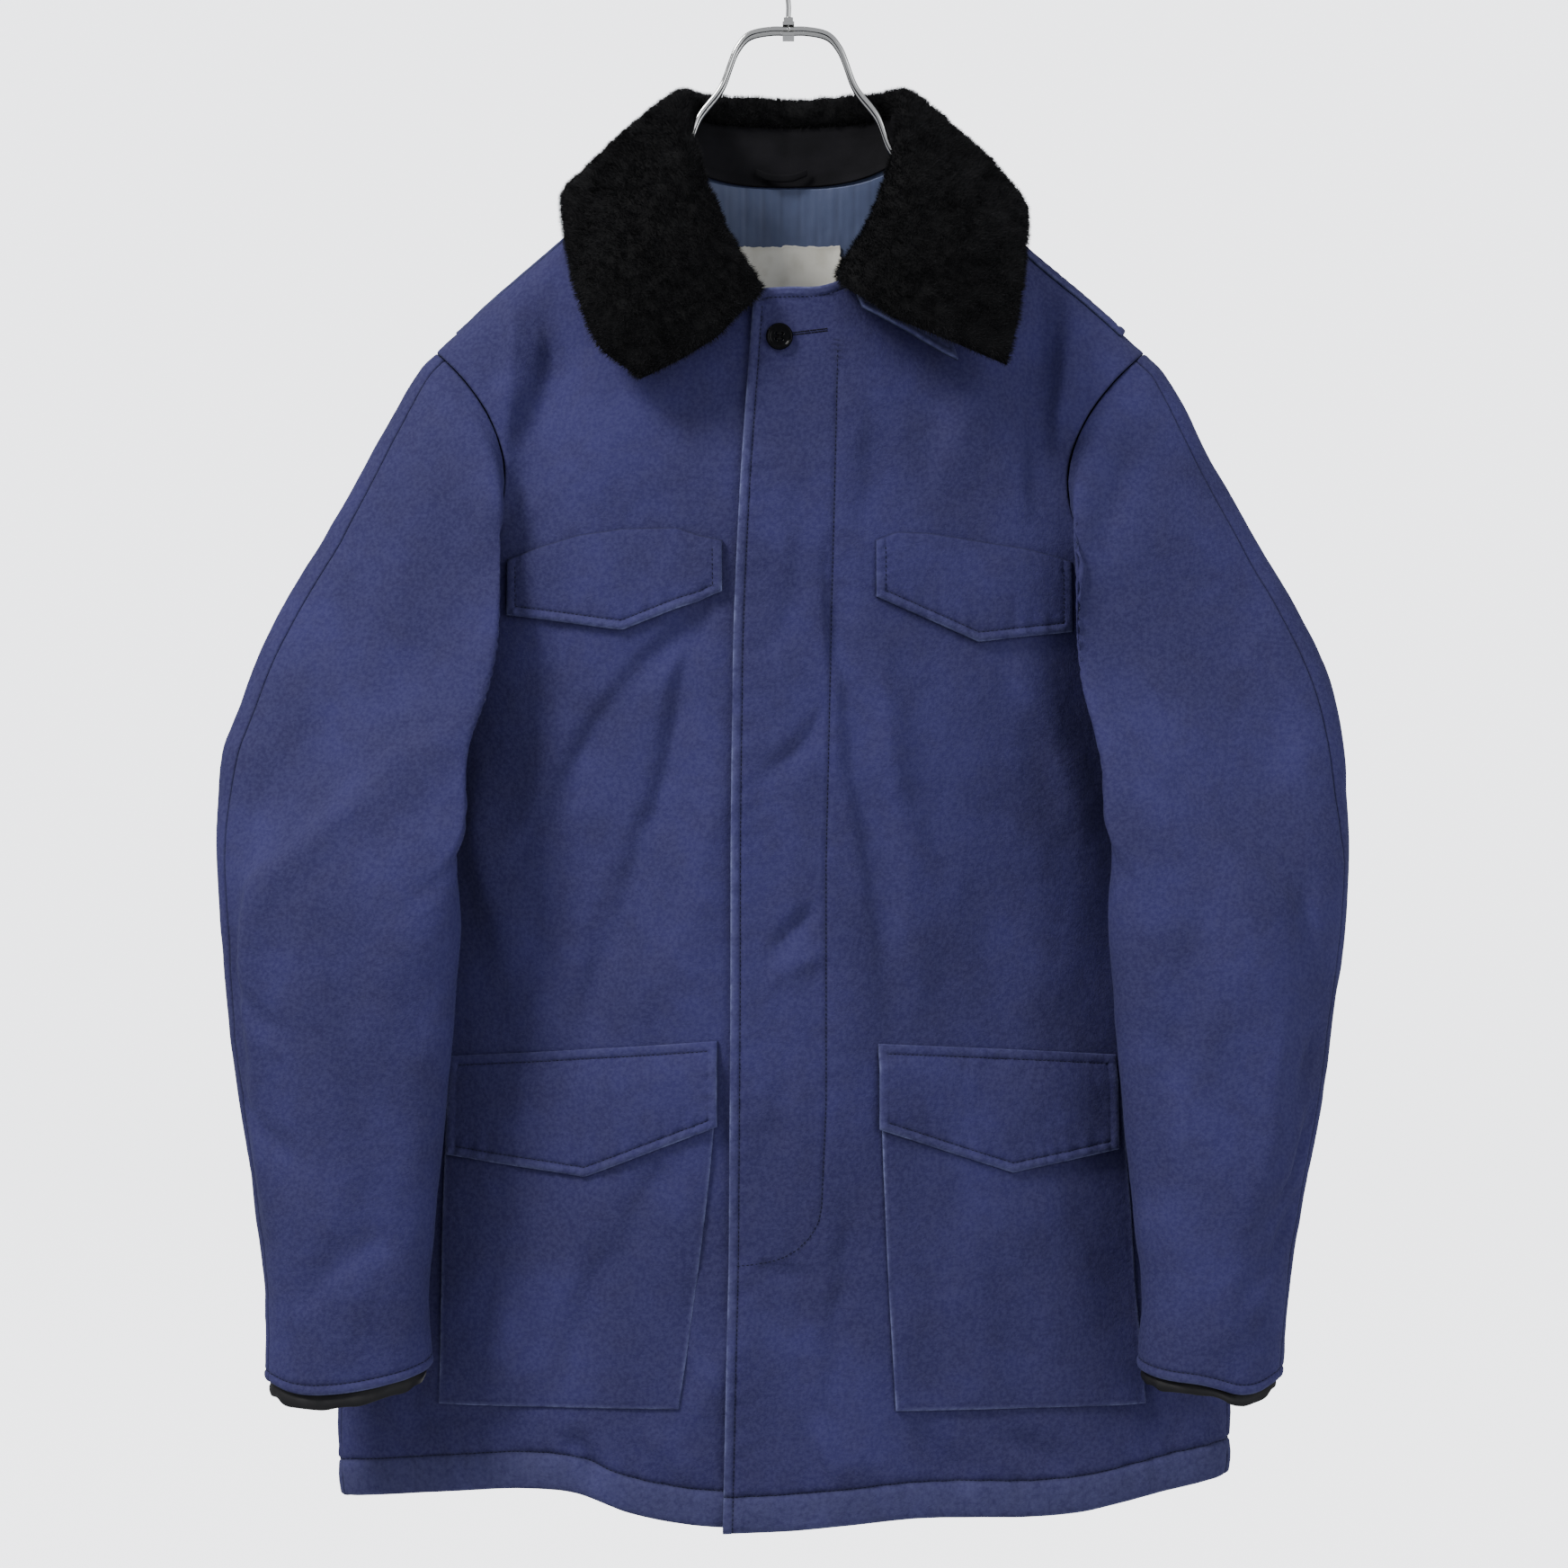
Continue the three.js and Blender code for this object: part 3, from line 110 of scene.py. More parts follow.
BODY = Table(
    "drop width front back round side",
    [480, 263, 60, 44, 0.55, 14],
    [600, 264, 62, 46, 0.55, 16],
    [750, 269, 62, 50, 0.6, 15],
    [900, 286, 63, 54, 0.68, 10],
    [990, 305, 64.5, 56, 0.74, 7],
    [1066, 303, 66, 58, 0.8, 4],
)
HEMS = {
    "right_front": Table(
        "x lower", [-40, 8.5], [0, 10.5], [86, 5], [145, -13], [205, -12], [303, -1]
    ),
    "left_front": Table(
        "x lower", [-40, 13], [0, 11], [90, 4], [187, 4], [250, -7], [303, -16]
    ),
    "right_back": Table("x lower", [0, 4], [150, 2], [303, -1]),
    "left_back": Table("x lower", [0, 4], [150, -2], [303, -16]),
}
SLEEVE_OUTLINE = Table(
    "drop right left inner",
    [286, 240, 243, 186],
    [298, 252, 257, 186],
    [340, 275, 281, 186],
    [377, 294, 302, 187],
    [414, 313, 322, 189],
    [450, 336, 343, 191],
    [487, 355, 361, 195],
    [524, 369, 373, 200],
    [560, 380, 379, 205],
    [597, 383, 380, 208],
    [633, 382, 380, 210],
    [706, 375, 373, 216],
    [778, 366, 362, 222],
    [849, 354, 346, 230],
    [885, 348, 338, 233],
    [921, 345, 334, 235],
    [980, 344, 329, 235],
)
SLEEVE = Table(
    "v outY outDrop inX inY inDrop front back frontBow backBow lean",
    [0, 0, 286, 258, 4, 478, 38, 36, 60, 40, 0],
    [1, -1, 306, 267, 2, 483, 50, 36, 72, 20, 0.1],
    [2, -4, 343, 271, -4, 494, 52, 36, 85, 5, 0.2],
    [3, -8, 393, 267, -14, 516, 50, 38, 94, 0, 0.2],
    [4, -14, 451, 254, -32, 548, 42, 38, 96, 0, 0.2],
    [5, -22, 510, 234, -54, 586, 38, 38, 76, 0, 0.2],
    [6, -32, 568, 219, -68, 626, 38, 40, 60, 0, 0.1],
    [7, -42, 630, 214, -74, 670, 40, 42, 8, 0, 0],
    [8, -50, 690, 217, -74, 714, 40, 42, 0, 0, 0],
    [9, -56, 750, 220, -74, 760, 39, 41, 0, 0, 0],
    [10, -60, 808, 225, -74, 810, 38, 39, 0, 0, 0],
    [11, -64, 862, 231, -74, 860, 37, 37, 0, 0, 0],
    [12, -68, 918, 235, -74, 911, 36, 35, 0, 0, 0],
    [13, -70, 974, 235, -74, 962, 35, 34, 0, 0, 0],
)
SLEEVE_ROWS = 13
COLLAR = {
    -1: Table(
        "angle rollX rollY rollDrop fallX fallY fallDrop edgeX edgeY edgeDrop",
        [-90, 0, 58, 110, 0, 76, 134, 0, 76, 206],
        [-45, 56, 44, 109, 84, 60, 134, 126, 64, 187],
        [0, 73, 4, 115, 107, 6, 140, 152, 6, 180],
        [30, 66, -34, 158, 104, -52, 198, 142, -54, 244],
        [54, 48, -58, 208, 86, -72, 246, 126, -68, 286],
        [76, 27, -68, 246, 64, -78, 275, 104, -72, 305],
    ),
    1: Table(
        "angle rollX rollY rollDrop fallX fallY fallDrop edgeX edgeY edgeDrop",
        [-90, 0, 58, 110, 0, 76, 134, 0, 76, 206],
        [-45, 58, 44, 109, 88, 60, 134, 130, 64, 190],
        [0, 79, 4, 116, 116, 6, 142, 160, 6, 187],
        [25, 75, -32, 158, 116, -52, 192, 155, -54, 238],
        [45, 60, -56, 204, 104, -78, 236, 151, -74, 270],
        [65, 42, -66, 236, 88, -86, 262, 146, -80, 291],
    ),
}
COLLAR_STATIONS = 10
COLLAR_INSET = 3
COLLAR_RISE = -2
COLLAR_WALL = 1.8

FLAPS = {
    "chest_flap_right": Table(
        "x top bottom",
        [41, 417, 451],
        [56, 414, 457],
        [72, 408.5, 463],
        [108, 409, 477],
        [137, 413, 473],
        [164, 421, 469],
        [186, 429, 466],
    ),
    "chest_flap_left": Table(
        "x top bottom",
        [61, 417, 455],
        [75, 411.5, 461],
        [96, 412, 470],
        [130, 417, 485],
        [163, 422, 481],
        [180, 426, 479],
        [194, 430, 477],
    ),
    "pocket_flap_right": Table(
        "x top bottom", [44, 751, 808], [132, 757.5, 843], [226, 764, 831]
    ),
    "pocket_flap_left": Table(
        "x top bottom", [62, 753, 810], [152, 758, 841], [224, 763, 827]
    ),
}
# Pocket bags: top and bottom drops, then the inner and outer edges at the top and the bottom.
POCKETS = {
    "pocket_right": SimpleNamespace(
        top=785, bottom=997, inner=(45, 70), outer=(228, 232)
    ),
    "pocket_left": SimpleNamespace(
        top=785, bottom=998, inner=(64, 74), outer=(228, 243)
    ),
}
POCKET_SLANT = 1.3
POCKET_BULGE = 2.0
FLAP_LIFT = 1.1
CHEST_FLAP_LIFT = 1.4
POCKET_LIFT = 0.7
EDGE_OF_RIGHT_FRONT = (24, 18)  # past the centre, at the neck and at the hem
EDGE_OF_LEFT_FRONT = (23, 41)

# The two large folds that the frame has in each front, by distance from the centre and drop.
FORM_FOLDS = {
    "right_front": [(152, 262, 170, 400, 24, 7), (90, 520, 170, 700, 30, 5)],
    "left_front": [(160, 262, 176, 400, 24, 7), (150, 560, 140, 740, 30, 4)],
    "right_back": [],
    "left_back": [],
}
# Creases that show in the cloth: from and to by x and drop, half width, and depth (negative: a ridge).
FRONT_CREASES = [
    (-70, 470, -176, 640, 11, 4.2),
    (-90, 500, -160, 600, 14, -2.6),
    (-52, 486, -138, 700, 10, 4.0),
    (-44, 560, -96, 730, 16, -2.2),
    (-186, 262, -190, 345, 9, -3.6),
    (-165, 268, -181, 392, 8, 3.0),
    (-140, 300, -120, 395, 16, -1.6),
    (-205, 560, -190, 720, 14, -2.4),
    (-110, 650, -150, 745, 9, 1.6),
    (11, 418, -20, 492, 6, 1.3),
    (18, 530, -16, 578, 6, 1.5),
    (13, 660, -9, 694, 5, 2.0),
    (20, 690, -14, 716, 5, -1.2),
    (2, 780, -12, 826, 6, 1.0),
    (48, 430, 50, 730, 9, 2.6),
    (63, 480, 66, 745, 10, -1.8),
    (56, 330, 50, 420, 10, 1.4),
    (120, 300, 104, 400, 15, -1.8),
    (164, 240, 178, 400, 9, 3.0),
    (188, 262, 196, 380, 9, -3.0),
    (90, 560, 150, 700, 22, 1.8),
    (168, 500, 196, 660, 14, -2.2),
    (-18, 905, 18, 911, 4, 1.3),
    (-30, 930, -60, 1010, 14, -1.6),
    (30, 870, 44, 1000, 12, 1.8),
    (84, 1008, 126, 1048, 8, 2.4),
    (20, 1005, 46, 1050, 10, -1.8),
    (150, 1015, 190, 1046, 8, 1.6),
    (-152, 1016, -126, 1048, 7, 2.6),
    (-236, 1008, -170, 1014, 5, 1.5),
    (-200, 1022, -150, 1030, 5, 1.2),
    (-96, 1012, -60, 1046, 10, -1.6),
    (236, 970, 262, 1040, 12, 2.0),
    (-262, 960, -246, 1040, 12, 2.0),
]
BACK_CREASES = [
    (-150, 300, -60, 430, 20, 2.6),
    (150, 290, 70, 420, 20, 2.8),
    (-60, 420, -150, 640, 16, 2.8),
    (70, 400, 160, 610, 15, 3.0),
    (-20, 500, -70, 820, 20, 2.4),
    (30, 520, 60, 860, 22, -2.6),
    (-120, 640, -160, 900, 18, -2.6),
    (140, 640, 120, 920, 18, 2.2),
    (-190, 700, -200, 980, 14, 2.4),
    (200, 720, 196, 1000, 14, -2.0),
    (-10, 850, 20, 1040, 18, 2.4),
    (-100, 960, -70, 1045, 12, -2.0),
    (90, 980, 120, 1048, 12, 2.0),
    (-220, 250, -170, 420, 10, 2.4),
    (222, 250, 176, 420, 10, 2.2),
]
# Creases of each sleeve: from and to by angle round it and row along it, half width, and depth.
SLEEVE_CREASES = {
    -1: [
        (84, 5.2, 42, 11.4, 9, -3.4),
        (60, 5.6, 24, 10.6, 12, 2.6),
        (110, 7.2, 88, 12.4, 14, 2.0),
        (130, 4.2, 112, 8.4, 12, -1.8),
        (40, 2.2, 70, 5.2, 12, 1.8),
        (100, 0.8, 80, 3.6, 10, 1.6),
        (150, 5.6, 128, 7.4, 7, 1.5),
        (30, 8.2, 62, 9.0, 6, 1.3),
        (26, 9.6, 66, 10.5, 6, 1.2),
        (60, 12.0, 120, 11.3, 8, 1.2),
        (230, 3.4, 300, 5.6, 12, 2.6),
        (240, 6.2, 318, 7.4, 10, 2.2),
        (230, 8.2, 310, 8.9, 9, 1.8),
        (262, 9.4, 280, 12.6, 12, -2.2),
        (320, 2.0, 300, 8.6, 14, -2.2),
    ],
    1: [
        (96, 5.0, 88, 12.2, 14, -2.8),
        (66, 3.4, 62, 9.8, 12, 2.2),
        (120, 6.4, 116, 12.2, 12, 1.8),
        (44, 1.6, 74, 4.8, 12, 1.9),
        (104, 0.8, 92, 3.2, 10, 1.5),
        (24, 8.9, 60, 10.0, 5, 1.5),
        (26, 9.8, 66, 11.2, 5, 1.6),
        (30, 10.8, 70, 12.0, 6, 1.3),
        (56, 9.0, 44, 12.0, 7, -1.5),
        (140, 4.6, 118, 7.0, 8, 1.5),
        (228, 3.0, 306, 5.2, 12, 2.6),
        (238, 5.9, 314, 7.0, 10, 2.2),
        (226, 7.8, 312, 8.5, 9, 1.8),
        (270, 9.2, 258, 12.4, 12, -2.2),
        (322, 2.2, 296, 8.8, 14, -2.2),
    ],
}
SLEEVE_ARC = 0.95  # millimetres of cloth for each degree round a sleeve
SLEEVE_RING = 56  # and for each row along it
CREASE_DEPTH = 2.2

# How finely cloth is made: its cells, and where extra lines lie near an edge, a seam and the hem.
CELL = 4.4
SEAM_STOPS = (0.12, 0.7, 1.6, 3.0, 5.5, 9.0)
EDGE_STOPS = (0.1, 0.5, 1.3, 3.0, 5.0, 6.0, 6.6, 7.2, 8.4, 11.0)
HEM_STOPS = (0.1, 0.7, 2.0, 5.0, 10.0, 15.0, 19.5, 22.5, 23.8, 24.5, 25.2, 26.5, 29.0, 33.0)
OPEN_STOPS = (0.2, 1.0, 3.0)
IN_FRONT = -260.0  # where rays towards the fronts start
LINING_LIFT = 2.2  # from the back's inner face to the lining's
BUTTON_DROP = 282


def smoothstep(x, low, high):
    t = np.clip((np.asarray(x, float) - low) / (high - low), 0, 1)
    return t * t * (3 - 2 * t)


def unit(v):
    return v / np.maximum(np.linalg.norm(v, axis=-1, keepdims=True), 1e-9)


def read_along(at, keys, points):
    """Points read along straight lines between the keys at which they are given."""
    return np.stack([np.interp(at, keys, points[:, k]) for k in range(3)], axis=1)


def noise(u, v, seed):
    """Smooth noise from -1 to 1 over two arrays, with a feature about every unit."""
    size = 64
    lattice = np.random.default_rng(seed).uniform(-1, 1, (size, size))
    u, v = np.broadcast_arrays(np.asarray(u, float), np.asarray(v, float))
    i, j = np.floor(u).astype(int), np.floor(v).astype(int)
    s, t = u - i, v - j
    s, t = s * s * (3 - 2 * s), t * t * (3 - 2 * t)

    def at(a, b):
        return lattice[(i + a) % size, (j + b) % size]

    low = at(0, 0) * (1 - s) + at(1, 0) * s
    high = at(0, 1) * (1 - s) + at(1, 1) * s
    return low * (1 - t) + high * t


def creases(rows, x, y, seed):
    """How deep a set of creases presses the cloth in at each point, uneven in course and depth."""
    x = x + 5 * noise(x / 38, y / 52, seed) + 2 * noise(x / 14, y / 19, seed + 1)
    depth = np.zeros(np.shape(x))
    for n, (x0, y0, x1, y1, width, deep) in enumerate(rows):
        length = math.hypot(x1 - x0, y1 - y0)
        along = ((x - x0) * (x1 - x0) + (y - y0) * (y1 - y0)) / length
        off = ((x - x0) * (y1 - y0) - (y - y0) * (x1 - x0)) / length
        off = off + 0.06 * length * np.sin(along / length * 3 + n)
        wide = width * np.where(off > 0, 1.5, 0.75) * (0.8 + 0.4 * along / length).clip(0.5, 1.6)
        fade = smoothstep(along, -0.2 * length, 0.3 * length)
        fade = fade * (1 - smoothstep(along, 0.6 * length, 1.2 * length))
        uneven = 1 + 0.35 * noise(along / 45, n * 3.7, seed + 2)
        depth += deep * fade * uneven * np.exp(-((off / wide) ** 2))
    return depth


def rumple(x, y, seed, size=1.0):
    """The unevenness that all of the padded cloth has."""
    wide = 1.9 * noise(x / 95, y / 150, seed)
    middle = 0.95 * noise(x / 34, y / 46, seed + 1)
    small = 0.26 * noise(x / 11, y / 15, seed + 2)
    return size * (wide + 1.15 * middle + 1.2 * small)


def pucker(from_line, along, height, reach, pitch, seed):
    """Ripples that a sewn line draws the cloth into, dying out away from it."""
    phase = along / pitch + 0.9 * noise(along / 33, 0.5, seed) + 0.02 * from_line
    wave = np.sin(2 * np.pi * phase) * (0.65 + 0.45 * noise(along / 21, 7.5, seed))
    return height * wave * np.exp(-np.abs(from_line) / reach)


def groove(distance, at, width, depth):
    return -depth * np.exp(-(((distance - at) / width) ** 2))


def roll(distance, depth, reach):
    """A turned edge falls away round its fold."""
    near = np.clip(1 - distance / reach, 0, 1)
    return -depth * (1 - np.sqrt(np.clip(1 - near * near, 0, 1)))


# Forms that the frame's pieces have
def sleeve_point(side, angle, v):
    ring = SLEEVE.read(v)
    c, s = math.cos(math.radians(angle)), math.sin(math.radians(angle))
    bow = ring.frontBow if s > 0 else ring.backBow
    outline = SLEEVE_OUTLINE.read(ring.outDrop)
    out_x = outline.right if side < 0 else outline.left
    x = (out_x + ring.inX) / 2 + (out_x - ring.inX) / 2 * c - bow * s * s
    depth = -ring.front * s if s > 0 else -ring.back * s * (1 - ring.lean * (1 - c) / 2)
    y = (ring.outY + ring.inY) / 2 + (ring.outY - ring.inY) / 2 * c + depth
    drop = (ring.outDrop + ring.inDrop) / 2 + (ring.outDrop - ring.inDrop) / 2 * c
    return np.array([side * x, y, -drop])


def neckline_point(side, angle):
    c, s = math.cos(math.radians(angle)), math.sin(math.radians(angle))
    depth = FRONT_NECK_DEPTH if s > 0 else BACK_NECK_DEPTH
    centre_drop = FRONT_NECK_DROP if s > 0 else BACK_NECK_DROP
    drop = NECK_DROP + (centre_drop - NECK_DROP) * (1 - c**3)
    return np.array([side * NECK_HALF_WIDTH * c, -depth * s, -drop])


def mix(a, b, t):
    return a + (b - a) * t


def section_shares(angle, roundness):
    def forward(a):
        return roundness * math.sin(a) + (1 - roundness) * math.sin(a) ** 3

    start, at = math.radians(SIDE_SEAM_ANGLE), math.radians(angle)
    end = -1 if angle < SIDE_SEAM_ANGLE else 1
    across = (math.cos(start) - math.cos(at)) / math.cos(start)
    return across, (forward(at) - forward(start)) / (end - forward(start))


def body_grid(side, facing, name, edge):
    rows = []
    end = 90 * facing
    start = math.radians(SIDE_SEAM_ANGLE)
    neck_drop = FRONT_NECK_DROP if facing > 0 else BACK_NECK_DROP
    neck_depth = -FRONT_NECK_DEPTH if facing > 0 else BACK_NECK_DEPTH
    for j in range(ARMHOLE_ROWS + BODY_ROWS + 1):
        upper = j <= ARMHOLE_ROWS
        drop = UNDERARM_DROP
        if not upper:
            drop = mix(UNDERARM_DROP, HEM_DROP, (j - ARMHOLE_ROWS) / BODY_ROWS)
        body = BODY.read(drop)
        depth = -body.front if facing > 0 else body.back
        forward = body.round * math.sin(start) + (1 - body.round) * math.sin(start) ** 3
        if upper:
            outer = sleeve_point(side, facing * RING_STEP * j, 0)
        else:
            y = body.side - (body.side + body.front) * forward
            outer = np.array([side * body.width * math.cos(start), y, -drop])
        past = 0
        if j <= NECK_ROWS:
            inner = neckline_point(side, end * j / NECK_ROWS)
        else:
            first = NECK_ROWS + 1 if edge else NECK_ROWS
            inner_drop = drop
            if upper:
                share = (j - first) / (ARMHOLE_ROWS - first)
                inner_drop = mix(neck_drop, UNDERARM_DROP, share)
            if edge:
                share = (inner_drop - neck_drop) / (HEM_DROP - neck_drop)
                past = mix(edge[0], edge[1], share)
            eased = float(smoothstep(inner_drop, neck_drop, UNDERARM_DROP))
            inner = np.array([0, mix(neck_depth, depth, eased), -inner_drop])
        roundness = float(smoothstep(j / ARMHOLE_ROWS, 0, 1)) if upper else 1

        def at(u):
            across, ahead = section_shares(mix(SIDE_SEAM_ANGLE, end, u), body.round)
            across, ahead = mix(u, across, roundness), mix(u, ahead, roundness)
            shares = np.array([across, ahead, across])
            return outer + (inner - outer) * shares

        low, high = 0, 0.6 if past > 0 else 0
        for _ in range(30):
            middle = (low + high) / 2
            if side * at(1 - middle)[0] < past:
                low = middle
            else:
                high = middle
        row = []
        for i in range(FRONT_COLUMNS + 1):
            u = i / FRONT_COLUMNS * (1 + low)
            p = at(min(u, 2 - u))
            if u > 1:
                p[0] = -p[0]
            row.append(p)
        rows.append(row)
    grid = np.array(rows)
    for _ in range(3):
        y = grid[:, :, 1]
        around = (y[:-2, 1:-1] + y[2:, 1:-1] + y[1:-1, :-2] + y[1:-1, 2:]) / 4
        grid[1:-1, 1:-1, 1] = (y[1:-1, 1:-1] + around) / 2
    for p in grid.reshape(-1, 3):
        x = side * p[0]
        p[2] -= HEMS[name].read(x).lower * float(smoothstep(-p[2], UNDERARM_DROP, HEM_DROP))
        p[1] += facing * fold_depth(FORM_FOLDS[name], x, -p[2])
    return grid


def fold_depth(folds, x, drop):
    depth = 0
    for x0, d0, x1, d1, width, deep in folds:
        length = math.hypot(x1 - x0, d1 - d0)
        along = ((x - x0) * (x1 - x0) + (drop - d0) * (d1 - d0)) / length
        off = ((x - x0) * (d1 - d0) - (drop - d0) * (x1 - x0)) / length
        fade = smoothstep(along, -0.25 * length, 0.3 * length)
        fade = fade * (1 - smoothstep(along, 0.7 * length, 1.25 * length))
        depth += deep * float(fade) * math.exp(-((off / width) ** 2))
    return depth


def curve_point(points, t):
    """A point of the centripetal curve that the frame's collar sections and wires follow."""
    last = len(points) - 1
    i = min(int(t * last), last - 1)
    w = t * last - i
    p1, p2 = points[i], points[i + 1]
    p0 = points[i - 1] if i > 0 else 2 * points[0] - points[1]
    p3 = points[i + 2] if i + 2 <= last else 2 * points[last] - points[last - 1]
    d0, d1, d2 = (max(np.linalg.norm(b - a) ** 0.5, 1e-4) for a, b in ((p0, p1), (p1, p2), (p2, p3)))
    m1 = ((p1 - p0) / d0 - (p2 - p0) / (d0 + d1) + (p2 - p1) / d1) * d1
    m2 = ((p2 - p1) / d1 - (p3 - p1) / (d1 + d2) + (p3 - p2) / d2) * d1
    a = 2 * p1 - 2 * p2 + m1 + m2
    b = -3 * p1 + 3 * p2 - 2 * m1 - m2
    return a * w**3 + b * w * w + m1 * w + p1


def lean(points):
    points[..., 0] += LEAN * smoothstep(-points[..., 2], LEAN_FROM_DROP, LEAN_TO_DROP)
    return points


# Fine cloth from a coarse grid
def smooth_lines(p, per_cell):
    """More points on centripetal curves through the points along the first axis."""
    ahead, behind = 2 * p[-1:] - p[-2:-1], 2 * p[:1] - p[1:2]
    padded = np.concatenate([behind, p, ahead])
    chord = np.linalg.norm(np.diff(padded[..., :3], axis=0), axis=-1, keepdims=True)
    d = np.maximum(chord, 1e-3) ** 0.5
    p0, p1, p2, p3 = padded[:-3], padded[1:-2], padded[2:-1], padded[3:]
    d0, d1, d2 = d[:-2], d[1:-1], d[2:]
    m1 = ((p1 - p0) / d0 - (p2 - p0) / (d0 + d1) + (p2 - p1) / d1) * d1
    m2 = ((p2 - p1) / d1 - (p3 - p1) / (d1 + d2) + (p3 - p2) / d2) * d1
    w = (np.arange(per_cell) / per_cell).reshape(1, -1, *[1] * (p.ndim - 1))
    p1, p2, m1, m2 = p1[:, None], p2[:, None], m1[:, None], m2[:, None]
    line = p1 + m1 * w + (3 * (p2 - p1) - 2 * m1 - m2) * w**2 + (2 * (p1 - p2) + m1 + m2) * w**3
    return np.concatenate([line.reshape(-1, *p.shape[1:]), p[-1:]])


def refine(grid, per_cell=8, breaks=None):
    """A finer grid along smooth curves. breaks gives the row where a column turns a sharp corner."""
    down = smooth_lines(grid, per_cell)
    for column, corner in (breaks or {}).items():
        above = smooth_lines(grid[: corner + 1, column], per_cell)
        below = smooth_lines(grid[corner:, column], per_cell)
        down[:, column] = np.concatenate([above[:-1], below])
    return smooth_lines(down.transpose(1, 0, 2), per_cell).transpose(1, 0, 2)


def blur(values, passes):
    for _ in range(passes):
        pad = [(1, 1), (1, 1)] + [(0, 0)] * (values.ndim - 2)
        wide = np.pad(values, pad, mode="edge")
        around = wide[:-2, 1:-1] + wide[2:, 1:-1] + wide[1:-1, :-2] + wide[1:-1, 2:]
        values = (values + around / 4) / 2
    return values


def ease(grid, row, reach):
    """Takes a sharp bend out of the inside of a grid near one row."""
    rows = np.arange(len(grid))[:, None, None]
    share = np.exp(-(((rows - row) / reach) ** 2))
    for _ in range(40):
        eased = mix(grid, blur(grid, 1), share)
        grid[1:-1, 1:-1] = eased[1:-1, 1:-1]
    return grid


def respace(values, start, end, cell, count=None):
    """Respaces each line of values (lines, points, channels) by length: stops near its two ends and even
    cells between. Adds two channels, the distances from its start and from its end."""
    steps = np.linalg.norm(np.diff(values[:, :, :3], axis=1), axis=2)
    length = np.concatenate([np.zeros((len(values), 1)), np.cumsum(steps, axis=1)], axis=1)
    total = length[:, -1]
    middle = max(2, int(round((total.mean() - start[-1] - end[-1]) / cell)))
    if count:
        middle = count - len(start) - len(end) + 1
    out = []
    for line, s, whole in zip(values, length, total):
        squeeze = min(1, 0.46 * whole / max(start[-1], end[-1]))
        first, last = np.array(start) * squeeze, whole - np.array(end)[::-1] * squeeze
        at = np.concatenate([first, np.linspace(first[-1], last[0], middle + 1)[1:-1], last])
        columns = [np.interp(at, s, line[:, k]) for k in range(line.shape[1])]
        out.append(np.stack([*columns, at, whole - at], axis=1))
    return np.array(out)


class Cloth:
    """A fine sheet: its points, outward directions, heights to be added, its worn places with painted light
    on the throat tab, and painted shade along its seams, stitch lines and grooves.
    """

    def __init__(self, grid, flip, across, down, cell=CELL, per_cell=8, breaks=None, rows=None, finer=1):
        if per_cell > 1:
            grid = ease(refine(grid, per_cell, breaks), (NECK_ROWS + 0.5) * per_cell, 1.6 * per_cell)
        values = respace(grid, across[0], across[1], cell / finer)
        values = respace(values.transpose(1, 0, 2), down[0], down[1], cell, rows).transpose(1, 0, 2)
        self.points, self.extra = values[..., :3], values[..., 3:-4]
        distances = values[..., -4:].transpose(2, 0, 1)
        self.from_start, self.from_end, self.from_top, self.from_bottom = distances
        self.flip = flip
        down, across = np.gradient(self.points, axis=0), np.gradient(self.points, axis=1)
        self.normals = unit(np.cross(across, down)) * flip
        self.height, self.wear_and_painted_light, self.painted_shade = np.zeros((3, *self.points.shape[:2]))

    @property
    def x(self):
        return self.points[:, :, 0]

    @property
    def drop(self):
        return -self.points[:, :, 2]

    def raised(self, extra=0.0):
        return self.points + self.normals * (self.height + extra)[..., None]

    def seam(self, distance, along, seed, depth=1.1, puckered=0.3):
        """A sewn seam along one side of the sheet."""
        self.height += roll(distance, depth, 2.4)
        self.height += pucker(distance, along, puckered, 6.5, 11, seed) * smoothstep(distance, 0, 2)
        # Painted shade: the seam's valley is darkened in the cloth's colour.
        self.painted_shade = np.maximum(self.painted_shade, 0.5 * np.exp(-((distance / 0.9) ** 2)))

    def edge(self, distance, along, seed, at=TOPSTITCH, worn=1.0, puckered=0.3, swell=0.5, deep=0.75):
        """A turned and topstitched edge, worn pale along its fold."""
        self.height += roll(distance, 1.5, 1.8)
        self.height += swell * np.sin(np.pi * np.clip(distance / at, 0, 1))
        self.height += groove(distance, at, 0.9, deep)
        self.height += pucker(distance - at, along, puckered, 4.5, 7.5, seed)
        patchy = 0.55 + 0.45 * noise(along / 16, 3.3, seed + 5) + 0.2 * noise(along / 4, 1.3, seed + 6)
        self.wear_and_painted_light = np.maximum(self.wear_and_painted_light, worn * patchy * np.exp(-((distance / 1.1) ** 2)))
        between = np.exp(-(((distance - at * 0.5) / (at * 0.32)) ** 2))
        self.wear_and_painted_light = np.maximum(self.wear_and_painted_light, 0.07 * worn * between * (0.6 + patchy))
        # Painted shade: the stitch groove is darkened in the cloth's colour, more where it is cut deeper.
        self.painted_shade = np.maximum(self.painted_shade, deep * 0.8 * np.exp(-(((distance - at) / 0.55) ** 2)))


def faces_of(rows, columns, first, flip):
    j, i = np.meshgrid(np.arange(rows - 1), np.arange(columns - 1), indexing="ij")
    a = first + j * columns + i
    quads = np.stack([a, a + 1, a + columns + 1, a + columns], axis=-1).reshape(-1, 4)
    return quads if flip > 0 else quads[:, ::-1]


